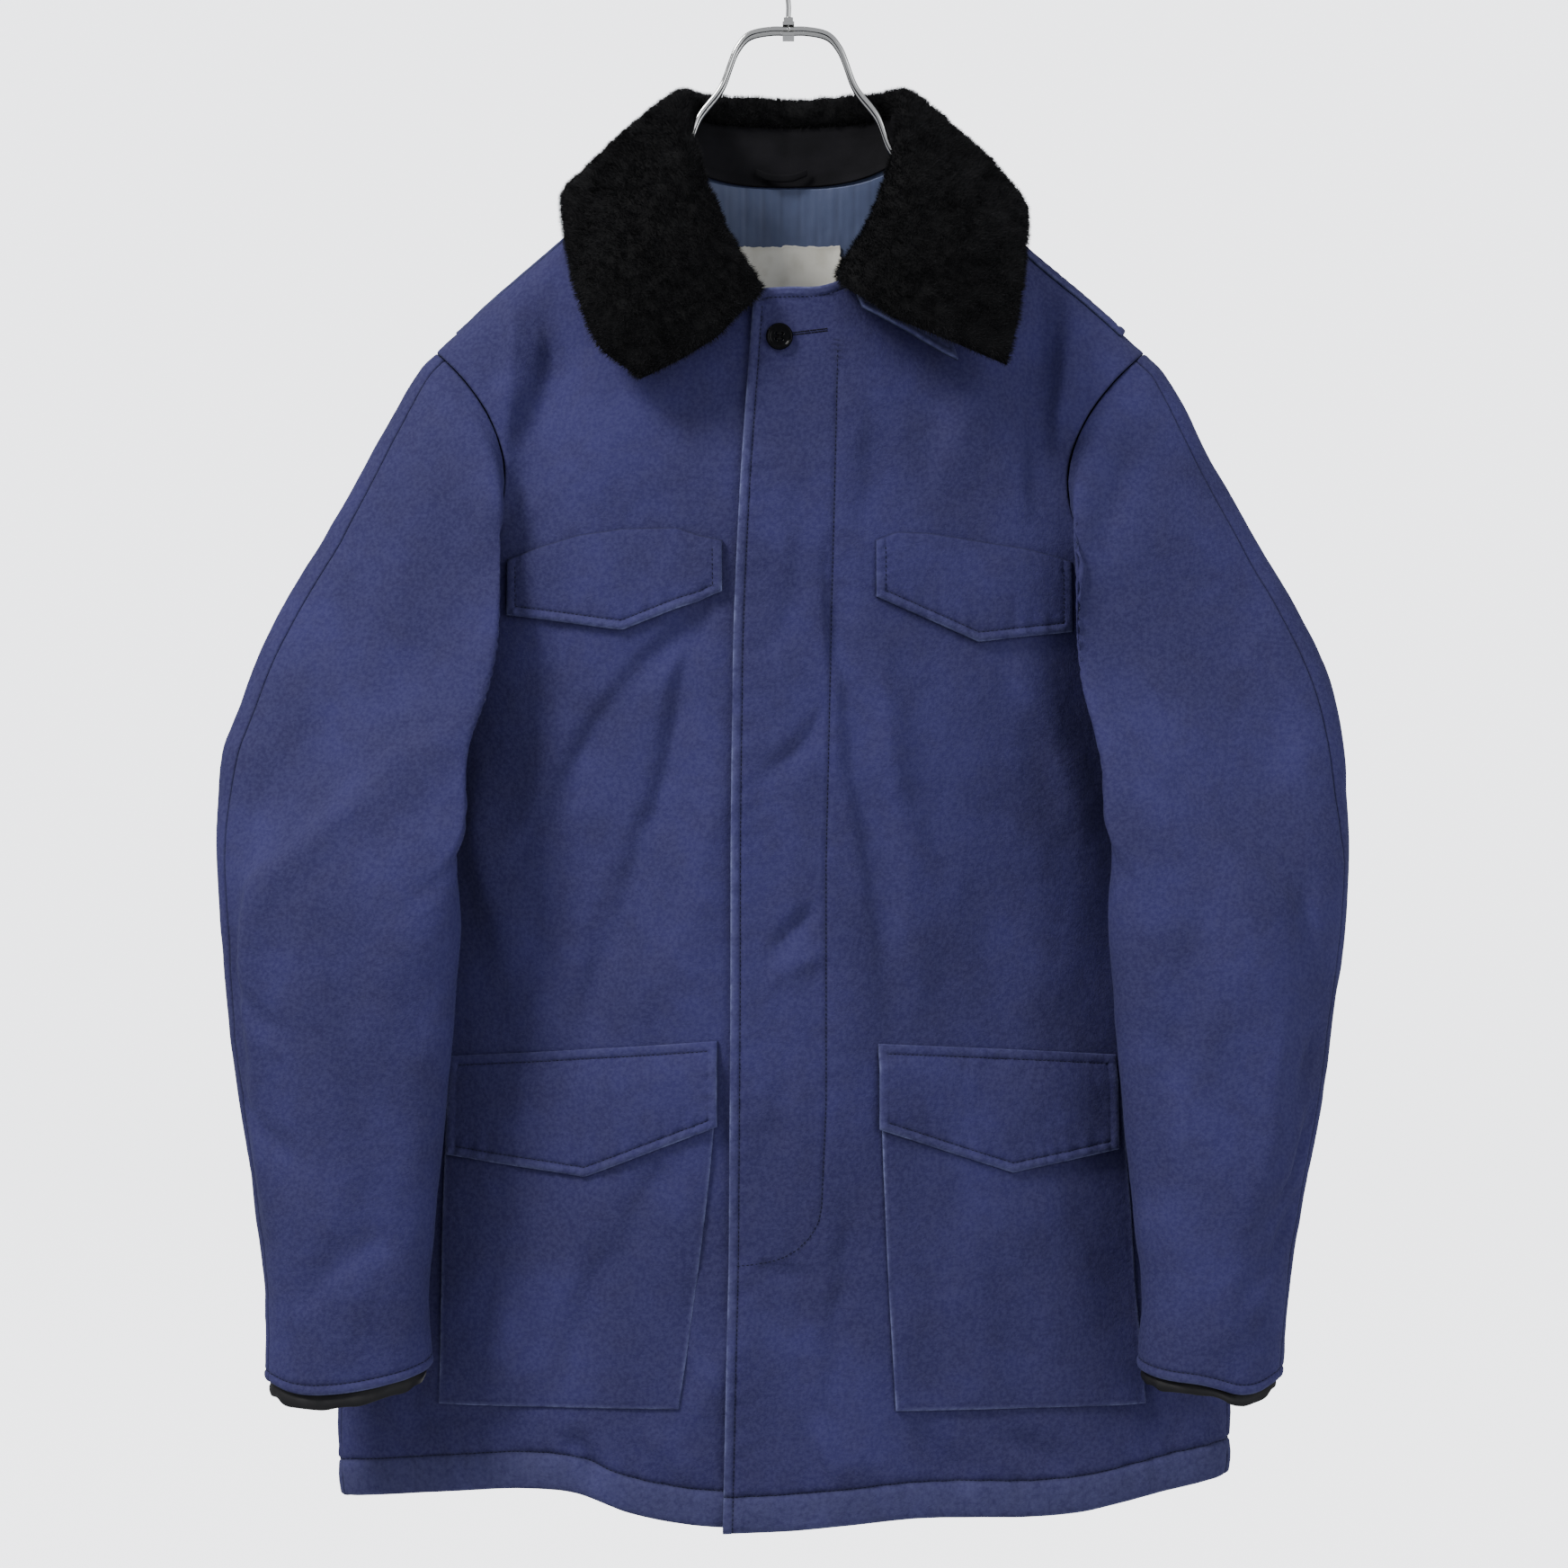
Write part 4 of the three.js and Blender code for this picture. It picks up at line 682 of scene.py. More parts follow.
def rim_faces(rows, columns, count, flip, ends=True):
    """The faces that join two layers along their edges, or along their first and last rows alone."""
    top = np.arange(columns)
    bottom = (rows - 1) * columns + top[::-1]
    if ends:
        last = np.arange(1, rows - 1) * columns + columns - 1
        first = np.arange(rows - 2, 0, -1) * columns
        ring = np.concatenate([top, last, bottom, first])
        pairs = [(ring, np.roll(ring, -1))]
    else:
        pairs = [(top[:-1], top[1:]), (bottom[:-1], bottom[1:])]
    rim = np.concatenate([np.stack([a, b, b + count, a + count], axis=1) for a, b in pairs])
    return rim[:, ::-1] if flip > 0 else rim


def make_mesh(name, points, faces, material, uv=None, attributes=None, smooth=True):
    """A mesh piece in metres from points in millimetres. faces may hold triangles or quads."""
    mesh = bpy.data.meshes.new(name)
    faces = np.asarray(faces)
    mesh.vertices.add(len(points))
    mesh.vertices.foreach_set("co", (np.asarray(points, np.float32) * MM).ravel())
    sides = faces.shape[1]
    mesh.loops.add(faces.size)
    mesh.loops.foreach_set("vertex_index", faces.ravel().astype(np.int32))
    mesh.polygons.add(len(faces))
    mesh.polygons.foreach_set("loop_start", np.arange(0, faces.size, sides, dtype=np.int32))
    mesh.polygons.foreach_set("use_smooth", np.full(len(faces), smooth))
    mesh.update(calc_edges=True)
    mesh.validate()
    if uv is not None:
        layer = mesh.uv_layers.new(name="cloth")
        layer.data.foreach_set("uv", (uv[faces.ravel()] * MM).astype(np.float32).ravel())
    for key, values in (attributes or {}).items():
        attribute = mesh.attributes.new(key, "FLOAT", "POINT")
        attribute.data.foreach_set("value", np.asarray(values, np.float32))
    mesh.materials.append(material)
    piece = bpy.data.objects.new(name, mesh)
    bpy.context.scene.collection.objects.link(piece)
    return piece


def add_piece(piece, slot, *nodes):
    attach(piece, "root")
    if nodes:
        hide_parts(*nodes)
    return piece


def wall(name, cloth, thickness, material, slot, node=None, base=0.0, lined=True):
    """A closed sheet of cloth: its raised outer face, its inner face and its rims. Its thickness may be
    one value or a value for every point."""
    rows, columns = cloth.points.shape[:2]
    outer = cloth.raised(base)
    sunk = np.minimum(0.7 * cloth.height, cloth.height)
    inner = cloth.points + cloth.normals * (base + sunk - thickness)[..., None]
    count = rows * columns
    front = faces_of(rows, columns, 0, cloth.flip)
    back = faces_of(rows, columns, count, -cloth.flip)
    rim = rim_faces(rows, columns, count, cloth.flip)
    points = np.concatenate([outer.reshape(-1, 3), inner.reshape(-1, 3)])
    across = np.linalg.norm(np.diff(cloth.points, axis=1), axis=2)
    down = np.linalg.norm(np.diff(cloth.points, axis=0), axis=2)
    u = np.concatenate([np.zeros((rows, 1)), np.cumsum(across, axis=1)], axis=1)
    v = np.concatenate([np.zeros((1, columns)), np.cumsum(down, axis=0)], axis=0)
    uv = np.tile(np.stack([u.ravel(), v.ravel()], axis=1), (2, 1))
    inside = np.concatenate([np.zeros(count), np.full(count, float(lined))])
    attributes = {
        "wear_and_painted_light": np.tile(np.clip(cloth.wear_and_painted_light, 0, 1).ravel(), 2),
        "painted_shade": np.tile(np.clip(cloth.painted_shade, 0, 1).ravel(), 2),
        "inside": inside,
    }
    faces = np.concatenate([front, back, rim])
    piece = make_mesh(name, points, faces, material, uv, attributes)
    return add_piece(piece, slot, *([node] if node else []))


def cast(tree, starts, directions):
    """Where lines first meet the cloth, and its outward directions there."""
    hits = np.full(starts.shape, np.nan)
    normals = np.full(starts.shape, np.nan)
    directions = np.broadcast_to(np.asarray(directions, float), starts.shape)
    for index in np.ndindex(starts.shape[:2]):
        hit, normal, _, _ = tree.ray_cast(Vector(starts[index]), Vector(directions[index]))
        if hit is not None:
            hits[index], normals[index] = hit, normal
    for values in (hits, normals):
        for channel in range(3):
            plane = values[:, :, channel]
            missing = np.isnan(plane)
            if missing.any():
                j, i = np.nonzero(~missing)
                for a, b in zip(*np.nonzero(missing)):
                    near = np.argmin((j - a) ** 2 + (i - b) ** 2)
                    plane[a, b] = plane[j[near], i[near]]
    facing = np.sum(normals * directions, axis=-1, keepdims=True)
    return hits, np.where(facing > 0, -normals, normals)


def tree_of(*cloths):
    points, faces, first = [], [], 0
    for cloth in cloths:
        rows, columns = cloth.points.shape[:2]
        faces.append(faces_of(rows, columns, first, cloth.flip))
        points.append(cloth.raised().reshape(-1, 3))
        first += rows * columns
    return BVHTree.FromPolygons(np.concatenate(points).tolist(), np.concatenate(faces).tolist())


def thinned(cloth, thickness, *others):
    """The thickness of a cloth, less where it or its neighbours lie close behind it."""
    tree = tree_of(cloth, *others)
    free = np.full(cloth.points.shape[:2], 4 * thickness)
    surface = cloth.raised(-0.05)
    for index in np.ndindex(free.shape):
        place, _, _, distance = tree.ray_cast(Vector(surface[index]), Vector(-cloth.normals[index]))
        if place is not None:
            free[index] = min(free[index], distance)
    return np.minimum(thickness, np.clip(0.38 * np.minimum(free, blur(free, 4)), 0.25, thickness))


# Materials
def colour(red, green, blue):
    """A colour from its 0 to 255 display values."""
    values = [c / 255 for c in (red, green, blue)]
    return (*[c / 12.92 if c < 0.04045 else ((c + 0.055) / 1.055) ** 2.4 for c in values], 1)


class Shader:
    def __init__(self, name):
        self.material = bpy.data.materials.new(name)
        self.material.use_nodes = True
        self.tree = self.material.node_tree
        self.surface = self.tree.nodes["Principled BSDF"]

    def node(self, kind, inputs=None, **settings):
        made = self.tree.nodes.new("ShaderNode" + kind)
        for key, value in settings.items():
            setattr(made, key, value)
        for key, value in (inputs or {}).items():
            self.put(made.inputs[key], value)
        return made

    def put(self, socket, value):
        if isinstance(value, bpy.types.NodeSocket):
            self.tree.links.new(value, socket)
        else:
            socket.default_value = value

    def set(self, **values):
        for key, value in values.items():
            self.put(self.surface.inputs[key.replace("_", " ")], value)

    def place(self):
        return self.node("TexCoord").outputs["Object"]

    def noise(self, scale, detail=2.0, place=None, roughness=0.5):
        inputs = {"Vector": place or self.place(), "Scale": scale, "Detail": detail, "Roughness": roughness}
        return self.node("TexNoise", inputs).outputs["Fac"]

    def attribute(self, name):
        return self.node("Attribute", attribute_name=name).outputs["Fac"]

    def math(self, operation, a, b=0.0):
        return self.node("Math", {0: a, 1: b}, operation=operation).outputs[0]

    def ramp(self, value, low, high, first=0.0, last=1.0):
        inputs = {"Value": value, 1: low, 2: high, 3: first, 4: last}
        return self.node("MapRange", inputs, interpolation_type="SMOOTHSTEP").outputs[0]

    def mix(self, share, a, b):
        inputs = {"Factor": share, 6: a, 7: b}
        return self.node("Mix", inputs, data_type="RGBA").outputs[2]

    def bump(self, height, distance, strength=1.0, onto=None):
        inputs = {"Height": height, "Distance": distance, "Strength": strength}
        made = self.node("Bump", inputs)
        if onto is not None:
            self.put(made.inputs["Normal"], onto)
        return made.outputs["Normal"]


NAVY = colour(49, 47, 95)
NAVY_DEEP = colour(42, 40, 82)
PALE = colour(118, 123, 165)
SLATE = colour(58, 66, 90)


def navy_cotton():
    s = Shader("navy_cotton")
    patches = s.ramp(s.noise(11, 3), 0.35, 0.65)
    flecks = s.ramp(s.noise(420, 2), 0.3, 0.7)
    base = s.mix(patches, NAVY_DEEP, NAVY)
    blotches = s.ramp(s.noise(55, 4), 0.4, 0.7, 0.0, 0.28)
    base = s.mix(blotches, base, colour(45, 42, 77))
    base = s.mix(s.math("MULTIPLY", flecks, 0.08), base, PALE)
    frayed = s.ramp(s.noise(260, 3), 0.25, 0.6, 0.35, 1.0)
    # Worn places, and on the throat tab painted light, make the cotton paler.
    worn = s.math("MULTIPLY", s.attribute("wear_and_painted_light"), frayed)
    base = s.mix(worn, base, PALE)
    # Painted shade: towards near-black navy in seams, stitch lines and grooves.
    base = s.mix(s.math("MULTIPLY", s.attribute("painted_shade"), 0.72), base, colour(14, 16, 30))
    base = s.mix(s.attribute("inside"), base, SLATE)
    crumple = s.bump(s.noise(42, 5, roughness=0.6), 0.0022, 0.6)
    creased = s.bump(s.noise(150, 3), 0.0007, 0.5, crumple)
    grain = s.bump(s.noise(900, 2), 0.0004, 0.7, creased)
    s.set(Base_Color=base, Roughness=0.86, Specular_IOR_Level=0.25, Normal=grain)
    s.set(Sheen_Weight=0.06, Sheen_Roughness=0.45, Sheen_Tint=colour(150, 165, 215))
    return s.material


def black_cloth():
    s = Shader("black_cloth")
    base = s.mix(s.ramp(s.noise(30, 3), 0.3, 0.7), colour(15, 15, 18), colour(25, 24, 28))
    # Painted shade: towards near-black in the stand's grooves.
    base = s.mix(s.math("MULTIPLY", s.attribute("painted_shade"), 0.6), base, colour(10, 10, 12))
    s.set(Base_Color=base, Roughness=0.85, Specular_IOR_Level=0.12)
    s.set(Normal=s.bump(s.noise(500, 2), 0.0003, 0.6), Sheen_Weight=0.04)
    return s.material


def knitted_trim():
    s = Shader("cuff_trim")
    base = s.mix(s.ramp(s.noise(60, 3), 0.3, 0.7), colour(16, 16, 19), colour(28, 27, 29))
    base = s.mix(s.math("MULTIPLY", s.attribute("wear_and_painted_light"), 0.7), base, colour(170, 168, 160))
    s.set(Base_Color=base, Roughness=0.6, Specular_IOR_Level=0.3)
    s.set(Normal=s.bump(s.noise(320, 2), 0.0002, 0.5))
    return s.material


def pile():
    s = Shader("pile")
    # The hairs' random tone and painted tip highlight; the skin, which has none, keeps the darkest colour.
    base = s.mix(s.attribute("tone_and_tip_highlight"), colour(11, 11, 12), colour(62, 62, 65))
    s.set(Base_Color=base, Roughness=0.8, Specular_IOR_Level=0.12)
    s.set(Sheen_Weight=0.04, Sheen_Tint=colour(150, 150, 165))
    return s.material


def lining():
    s = Shader("lining")
    base = s.mix(s.ramp(s.noise(25, 3), 0.3, 0.7), colour(66, 76, 107), colour(77, 88, 121))
    # Painted shade: towards deep blue along the lining's channel lines.
    base = s.mix(s.math("MULTIPLY", s.attribute("painted_shade"), 0.45), base, colour(30, 36, 56))
    s.set(Base_Color=base, Roughness=0.5, Specular_IOR_Level=0.35, Sheen_Weight=0.1)
    s.set(Normal=s.bump(s.noise(90, 3), 0.0008, 0.4))
    return s.material


def label_cloth():
    s = Shader("label_cloth")
    base = s.mix(s.ramp(s.noise(60, 4), 0.4, 0.7), colour(240, 238, 228), colour(222, 219, 206))
    base = s.mix(s.attribute("wear_and_painted_light"), base, colour(178, 170, 150))
    s.set(Base_Color=base, Roughness=0.75, Normal=s.bump(s.noise(300, 2), 0.0002, 0.4))
    return s.material


def chrome():
    s = Shader("chrome")
    smudge = s.ramp(s.noise(60, 3), 0.3, 0.7, 0.08, 0.2)
    s.set(Base_Color=colour(205, 205, 203), Metallic=1.0, Roughness=smudge)
    return s.material


def button_resin():
    s = Shader("button_resin")
    base = s.mix(s.ramp(s.noise(300, 3), 0.4, 0.7), colour(3, 3, 5), colour(8, 8, 11))
    s.set(Base_Color=base, Roughness=0.16, Specular_IOR_Level=0.1)
    return s.material


def thread(name, shade):
    s = Shader(name)
    s.set(Base_Color=shade, Roughness=0.8, Specular_IOR_Level=0.2)
    return s.material


COTTON = navy_cotton()
BLACK = black_cloth()
TRIM = knitted_trim()
PILE_BLACK = pile()
LINING = lining()
LABEL = label_cloth()
CHROME = chrome()
RESIN = button_resin()
DARK_THREAD = thread("dark_thread", colour(22, 24, 44))
BLACK_THREAD = thread("black_thread", colour(12, 12, 14))


# Fronts and back
def coat_rumple(points, seed=11):
    """Unevenness that runs on from one panel to the next."""
    x, y, drop = points[..., 0], points[..., 1], -points[..., 2]
    return rumple(x + 0.6 * y * np.sign(x), drop, seed)


def lap_forward(grid):
    """Carries the left front's lap over the right front."""
    lap = smoothstep(-grid[..., 0], -LAP_FROM, -LAP_TO)
    lap = lap * smoothstep(-grid[..., 2], LAP_TOP_FROM, LAP_TOP_TO)
    grid[..., 1] -= (SHELL_WALL + LAP_FORWARD) * lap
    return grid


FLY_STITCH = Table(
    "x drop", [33, 284], [25, 633], [25, 794], [22, 862], [20, 872], [14, 882], [6, 890], [-3, 895],
    [-12, 898], [-24, 900], [-36, 901],
)
FLY_STOPS = EDGE_STOPS + (*range(15, 52, 4), *(53 + 0.8 * n for n in range(18)), 70)
NECK_RISE = 7.5  # how much higher the front of the neckline is than on the frame
LAP_FURTHER = Table(
    "drop extra", [248, 0], [278, 4.5], [392, 4.2], [476, 6], [600, 5], [729, 2.4], [900, 0], [1066, 0]
)


def push_lap(grid):
    """Carries the lap's edge further past the centre."""
    x, drop = grid[..., 0], -grid[..., 2]
    grid[..., 0] -= LAP_FURTHER.line("extra", drop) * smoothstep(-x, -15, 20)
    return grid


def raise_neck(grid, rise, corner_drop=FRONT_NECK_DROP):
    """Squares the front's top corner past the centre, and lifts the front of the neckline."""
    below_neck = grid[NECK_ROWS + 1]
    below_neck[:-1, 2] -= 12 * np.exp(-((below_neck[:-1, 0] / 45) ** 2))
    below_neck[-1, 2] = -corner_drop
    x, drop = grid[..., 0], -grid[..., 2]
    grid[..., 2] += rise * np.exp(-((x / 62) ** 2)) * (1 - smoothstep(drop, 262, 340))
    return grid


GRIDS = {
    "right_front": raise_neck(lean(body_grid(-1, 1, "right_front", EDGE_OF_RIGHT_FRONT)), 5.5, 258),
    "left_front": push_lap(
        raise_neck(lean(lap_forward(body_grid(1, 1, "left_front", EDGE_OF_LEFT_FRONT))), NECK_RISE)
    ),
    "right_back": lean(body_grid(-1, -1, "right_back", None)),
    "left_back": lean(body_grid(1, -1, "left_back", None)),
}


def front_cloth(name, side, end_stops):
    breaks = {0: ARMHOLE_ROWS, -1: NECK_ROWS + 1}
    ends = (SEAM_STOPS, end_stops)
    cloth = Cloth(GRIDS[name], side, ends, (SEAM_STOPS, HEM_STOPS), breaks=breaks, finer=1.55)
    fade = smoothstep(cloth.from_start, 0, 22) * smoothstep(cloth.from_top, 0, 22)
    cloth.height -= CREASE_DEPTH * fade * creases(FRONT_CREASES, cloth.x, cloth.drop, 3)
    cloth.height += coat_rumple(cloth.points)
    finish_body(cloth, 20 + side)
    return cloth


def finish_body(cloth, seed):
    """Seams at the side and shoulder, and the turned hem."""
    across = cloth.x
    cloth.seam(cloth.from_start, cloth.from_top, seed)
    cloth.seam(cloth.from_top, across, seed + 10)
    bottom = cloth.from_bottom
    cloth.height += roll(bottom, 2.0, 3.0)
    cloth.height += 0.9 * np.sin(np.pi * np.clip(bottom / HEM_TURN, 0, 1)) ** 0.7
    cloth.height += groove(bottom, HEM_TURN, 1.6, 1.5)
    cloth.height += pucker(bottom - HEM_TURN, across, 1.5, 13, 20, seed + 20)
    cloth.height += pucker(bottom - HEM_TURN, across + 0.5 * bottom, 0.8, 8, 12.5, seed + 21)
    patchy = 0.45 + 0.55 * noise(across / 22, 9.3, seed + 22)
    cloth.wear_and_painted_light = np.maximum(cloth.wear_and_painted_light, 0.7 * patchy * np.exp(-((bottom / 1.2) ** 2)))
    band = smoothstep(HEM_TURN + 0.3 - bottom, 0, 0.6)
    cloth.wear_and_painted_light = np.maximum(cloth.wear_and_painted_light, 0.11 * band)
    # Painted shade: the hem's stitch groove is darkened in the cloth's colour.
    cloth.painted_shade = np.maximum(cloth.painted_shade, 0.85 * np.exp(-(((bottom - HEM_TURN) / 0.7) ** 2)))


def from_line(points, line):
    """How far each point is from a line of points, and how far along the line its nearest place is."""
    starts, steps = line[:-1], np.diff(line, axis=0)
    lengths = np.linalg.norm(steps, axis=1)
    before = np.concatenate([[0], np.cumsum(lengths)[:-1]])
    nearest = np.full(len(points), 1e9)
    along = np.zeros(len(points))
    for start, step, length, run in zip(starts, steps, lengths, before):
        share = np.clip((points - start) @ step / max(length**2, 1e-9), 0, 1)
        distance = np.linalg.norm(points - start - share[:, None] * step, axis=1)
        closer = distance < nearest
        nearest[closer] = distance[closer]
        along[closer] = run + share[closer] * length
    return nearest, along


def front_edge(cloth):
    """The distance from a front's neck and front edges, and along them."""
    distance, along = cloth.from_end.copy(), cloth.from_top.copy()
    near = cloth.from_end < 45
    distance[near], along[near] = from_line(cloth.points[near], cloth.points[:, -1])
    return distance, along


right_front = front_cloth("right_front", -1, EDGE_STOPS)
left_front = front_cloth("left_front", 1, FLY_STOPS)
for cloth, seed in ((right_front, 41), (left_front, 43)):
    cloth.to_edge, along = front_edge(cloth)
    cloth.edge(cloth.to_edge, along, seed, worn=1.0, puckered=0.3, swell=0.45)
    cloth.height += pucker(cloth.to_edge - TOPSTITCH, along, 1.1, 11, 17, seed + 3)
face = np.stack([left_front.x, left_front.drop], axis=-1).reshape(-1, 2)
fly, along = (values.reshape(left_front.x.shape) for values in from_line(face, FLY_STITCH.rows))
left_front.height += groove(fly, 0, 1.8, 0.8)
left_front.height += pucker(fly, along, 0.5, 9, 15, 61)
# Painted shade: the fly's stitch groove is darkened in the cloth's colour.
left_front.painted_shade = np.maximum(left_front.painted_shade, 0.55 * np.exp(-((fly / 0.8) ** 2)))


def back_cloth(name, side, rows=None):
    breaks = {0: ARMHOLE_ROWS, -1: NECK_ROWS}
    across = (SEAM_STOPS, (0.0, 2.2))
    cloth = Cloth(GRIDS[name], -side, across, (SEAM_STOPS, HEM_STOPS), breaks=breaks, rows=rows)
    fade = smoothstep(cloth.from_start, 0, 22) * smoothstep(cloth.from_top, 0, 22)
    cloth.height -= CREASE_DEPTH * fade * creases(BACK_CREASES, cloth.x, cloth.drop, 5)
    cloth.height += coat_rumple(cloth.points)
    finish_body(cloth, 30)
    return cloth


def middle_x(drop):
    """Where the coat's middle line is at a drop."""
    return LEAN * smoothstep(drop, LEAN_FROM_DROP, LEAN_TO_DROP)


def share_middle(a, b):
    """Gives the two halves of the back the same points down their middle."""
    shared = np.ones(len(a.points), bool)
    for half in (a, b):
        shared &= np.abs(half.x[:, -1] - middle_x(half.drop[:, -1])) < 1
    for key in ("points", "normals", "height", "painted_shade", "wear_and_painted_light"):
        values = (getattr(a, key)[shared, -1] + getattr(b, key)[shared, -1]) / 2
        if key == "points":
            values[:, 0] = middle_x(-values[:, 2])
        if key == "normals":
            values = unit(values * [0, 1, 1])
        getattr(a, key)[shared, -1] = getattr(b, key)[shared, -1] = values


right_back = back_cloth("right_back", -1)
left_back = back_cloth("left_back", 1, len(right_back.points))
share_middle(right_back, left_back)


# Sleeves: points, with their angle round the sleeve and their place along it
CUFF_DIPS = {
    -1: Table("angle lower", [20, 1], [60, 11], [100, 12], [140, 8], [200, 0], [290, 0], [380, 1]),
    1: Table(
        "angle lower",
        [20, -2], [38, 4], [62, 12], [82, 10], [96, 6], [122, 8], [154, 7], [200, 2], [290, 0], [380, -2],
    ),
}


def cuff_dip(side, angles):
    """How much lower than on the frame a sleeve ends, by angle round it."""
    turns = [(angles + d - 20) % 360 + 20 for d in (-14, -7, 0, 7, 14)]
    return sum(CUFF_DIPS[side].line("lower", turn) for turn in turns) / len(turns)


def sleeve_grid(side, start):
    rows = []
    for v in np.linspace(0, SLEEVE_ROWS, SLEEVE_ROWS * 6 + 1):
        ring = SLEEVE.read(v)
        outline = SLEEVE_OUTLINE.read(ring.outDrop)
        out_x = outline.right if side < 0 else outline.left
        angles = np.linspace(start, start + 180, 61)
        c, s = np.cos(np.radians(angles)), np.sin(np.radians(angles))
        bow = np.where(s > 0, ring.frontBow, ring.backBow)
        x = (out_x + ring.inX) / 2 + (out_x - ring.inX) / 2 * c - bow * s * s
        lean_back = 1 - ring.lean * (1 - c) / 2
        depth = np.where(s > 0, -ring.front * s, -ring.back * s * lean_back)
        y = (ring.outY + ring.inY) / 2 + (ring.outY - ring.inY) / 2 * c + depth
        drop = (ring.outDrop + ring.inDrop) / 2 + (ring.outDrop - ring.inDrop) / 2 * c
        near_end = float(smoothstep(v, SLEEVE_ROWS - 2.5, SLEEVE_ROWS))
        drop = drop + near_end * cuff_dip(side, angles)
        rows.append(np.stack([side * x, y, -drop, angles, np.full(61, v)], axis=1))
    return lean(np.array(rows))


def sleeve_cloth(side, start, seed):
    ends = (SEAM_STOPS, SEAM_STOPS)
    cloth = Cloth(sleeve_grid(side, start), side, ends, (SEAM_STOPS, EDGE_STOPS), per_cell=1)
    angle, v = cloth.extra[..., 0], cloth.extra[..., 1]
    rows = [
        (a * SLEEVE_ARC, b * SLEEVE_RING, c * SLEEVE_ARC, d * SLEEVE_RING, width, deep)
        for a, b, c, d, width, deep in SLEEVE_CREASES[side]
    ]
    fade = smoothstep(cloth.from_top, 0, 14) * smoothstep(cloth.from_bottom, 0, 16)
    for turn in (-360, 0, 360):
        cloth.height -= CREASE_DEPTH * fade * creases(rows, (angle + turn) * SLEEVE_ARC, v * SLEEVE_RING, 7)
    x, y, drop = cloth.points[..., 0], cloth.points[..., 1], cloth.drop
    cloth.height += rumple(x + 0.9 * y, drop, 13 + side, 1.3) * smoothstep(cloth.from_top, -10, 20)
    for distance, n in ((cloth.from_start, 1), (cloth.from_end, 2)):
        cloth.seam(distance, cloth.from_top, seed + n, 1.2, 0.35)
    cloth.seam(cloth.from_top, angle * 1.1, seed + 3, 1.6, 0.45)
    cloth.edge(cloth.from_bottom, angle * SLEEVE_ARC, seed + 4, worn=0.6, puckered=0.35)
    return cloth


sleeves = {
    ("upper", -1): sleeve_cloth(-1, 20, 100),
    ("under", -1): sleeve_cloth(-1, 200, 110),
    ("upper", 1): sleeve_cloth(1, 20, 120),
    ("under", 1): sleeve_cloth(1, 200, 130),
}

NAMES = {-1: "right", 1: "left"}
wall("cloth_front_right", right_front, SHELL_WALL, COTTON, "shell", "front_right")
wall("cloth_front_left", left_front, SHELL_WALL, COTTON, "shell", "front_left")
for (part, side), cloth in sleeves.items():
    name = f"sleeve_{part}_{NAMES[side]}"
    other = sleeves["under" if part == "upper" else "upper", side]
    wall(f"cloth_{name}", cloth, thinned(cloth, SHELL_WALL, other), COTTON, "shell", name, lined=False)


def join_back(halves):
    """One closed mesh from the two halves of the back, which is one cloth without a middle seam."""
    pieces = [wall(f"half_{n}", half, SHELL_WALL, COTTON, "shell") for n, half in enumerate(halves)]
    mesh = bmesh.new()
    for piece in pieces:
        mesh.from_mesh(piece.data)
    on_middle = {v for v in mesh.verts if abs(v.co.x / MM - middle_x(-v.co.z / MM)) < 0.05}
    rims = [f for f in mesh.faces if all(v in on_middle for v in f.verts)]
    bmesh.ops.delete(mesh, geom=rims, context="FACES_ONLY")
    bmesh.ops.remove_doubles(mesh, verts=mesh.verts, dist=2e-5)
    bmesh.ops.delete(mesh, geom=[e for e in mesh.edges if not e.link_faces], context="EDGES")
    data = bpy.data.meshes.new("cloth_back")
    mesh.to_mesh(data)
    mesh.free()
    data.materials.append(COTTON)
    for piece in pieces:
        bpy.data.objects.remove(piece)
    back = bpy.data.objects.new("cloth_back", data)
    bpy.context.scene.collection.objects.link(back)
    return add_piece(back, "shell", "back")


join_back([right_back, left_back])

# Cuffs that show inside the sleeves' ends
CUFF_REACHES = {
    -1: Table("angle reach", [0, 10], [45, 10.5], [100, 9.5], [150, 9], [200, 9], [290, 10], [360, 10]),
    1: Table("angle reach", [0, 6], [25, 7], [62, 8.4], [82, 6], [110, 7.5], [165, 9], [290, 8], [360, 6]),
}


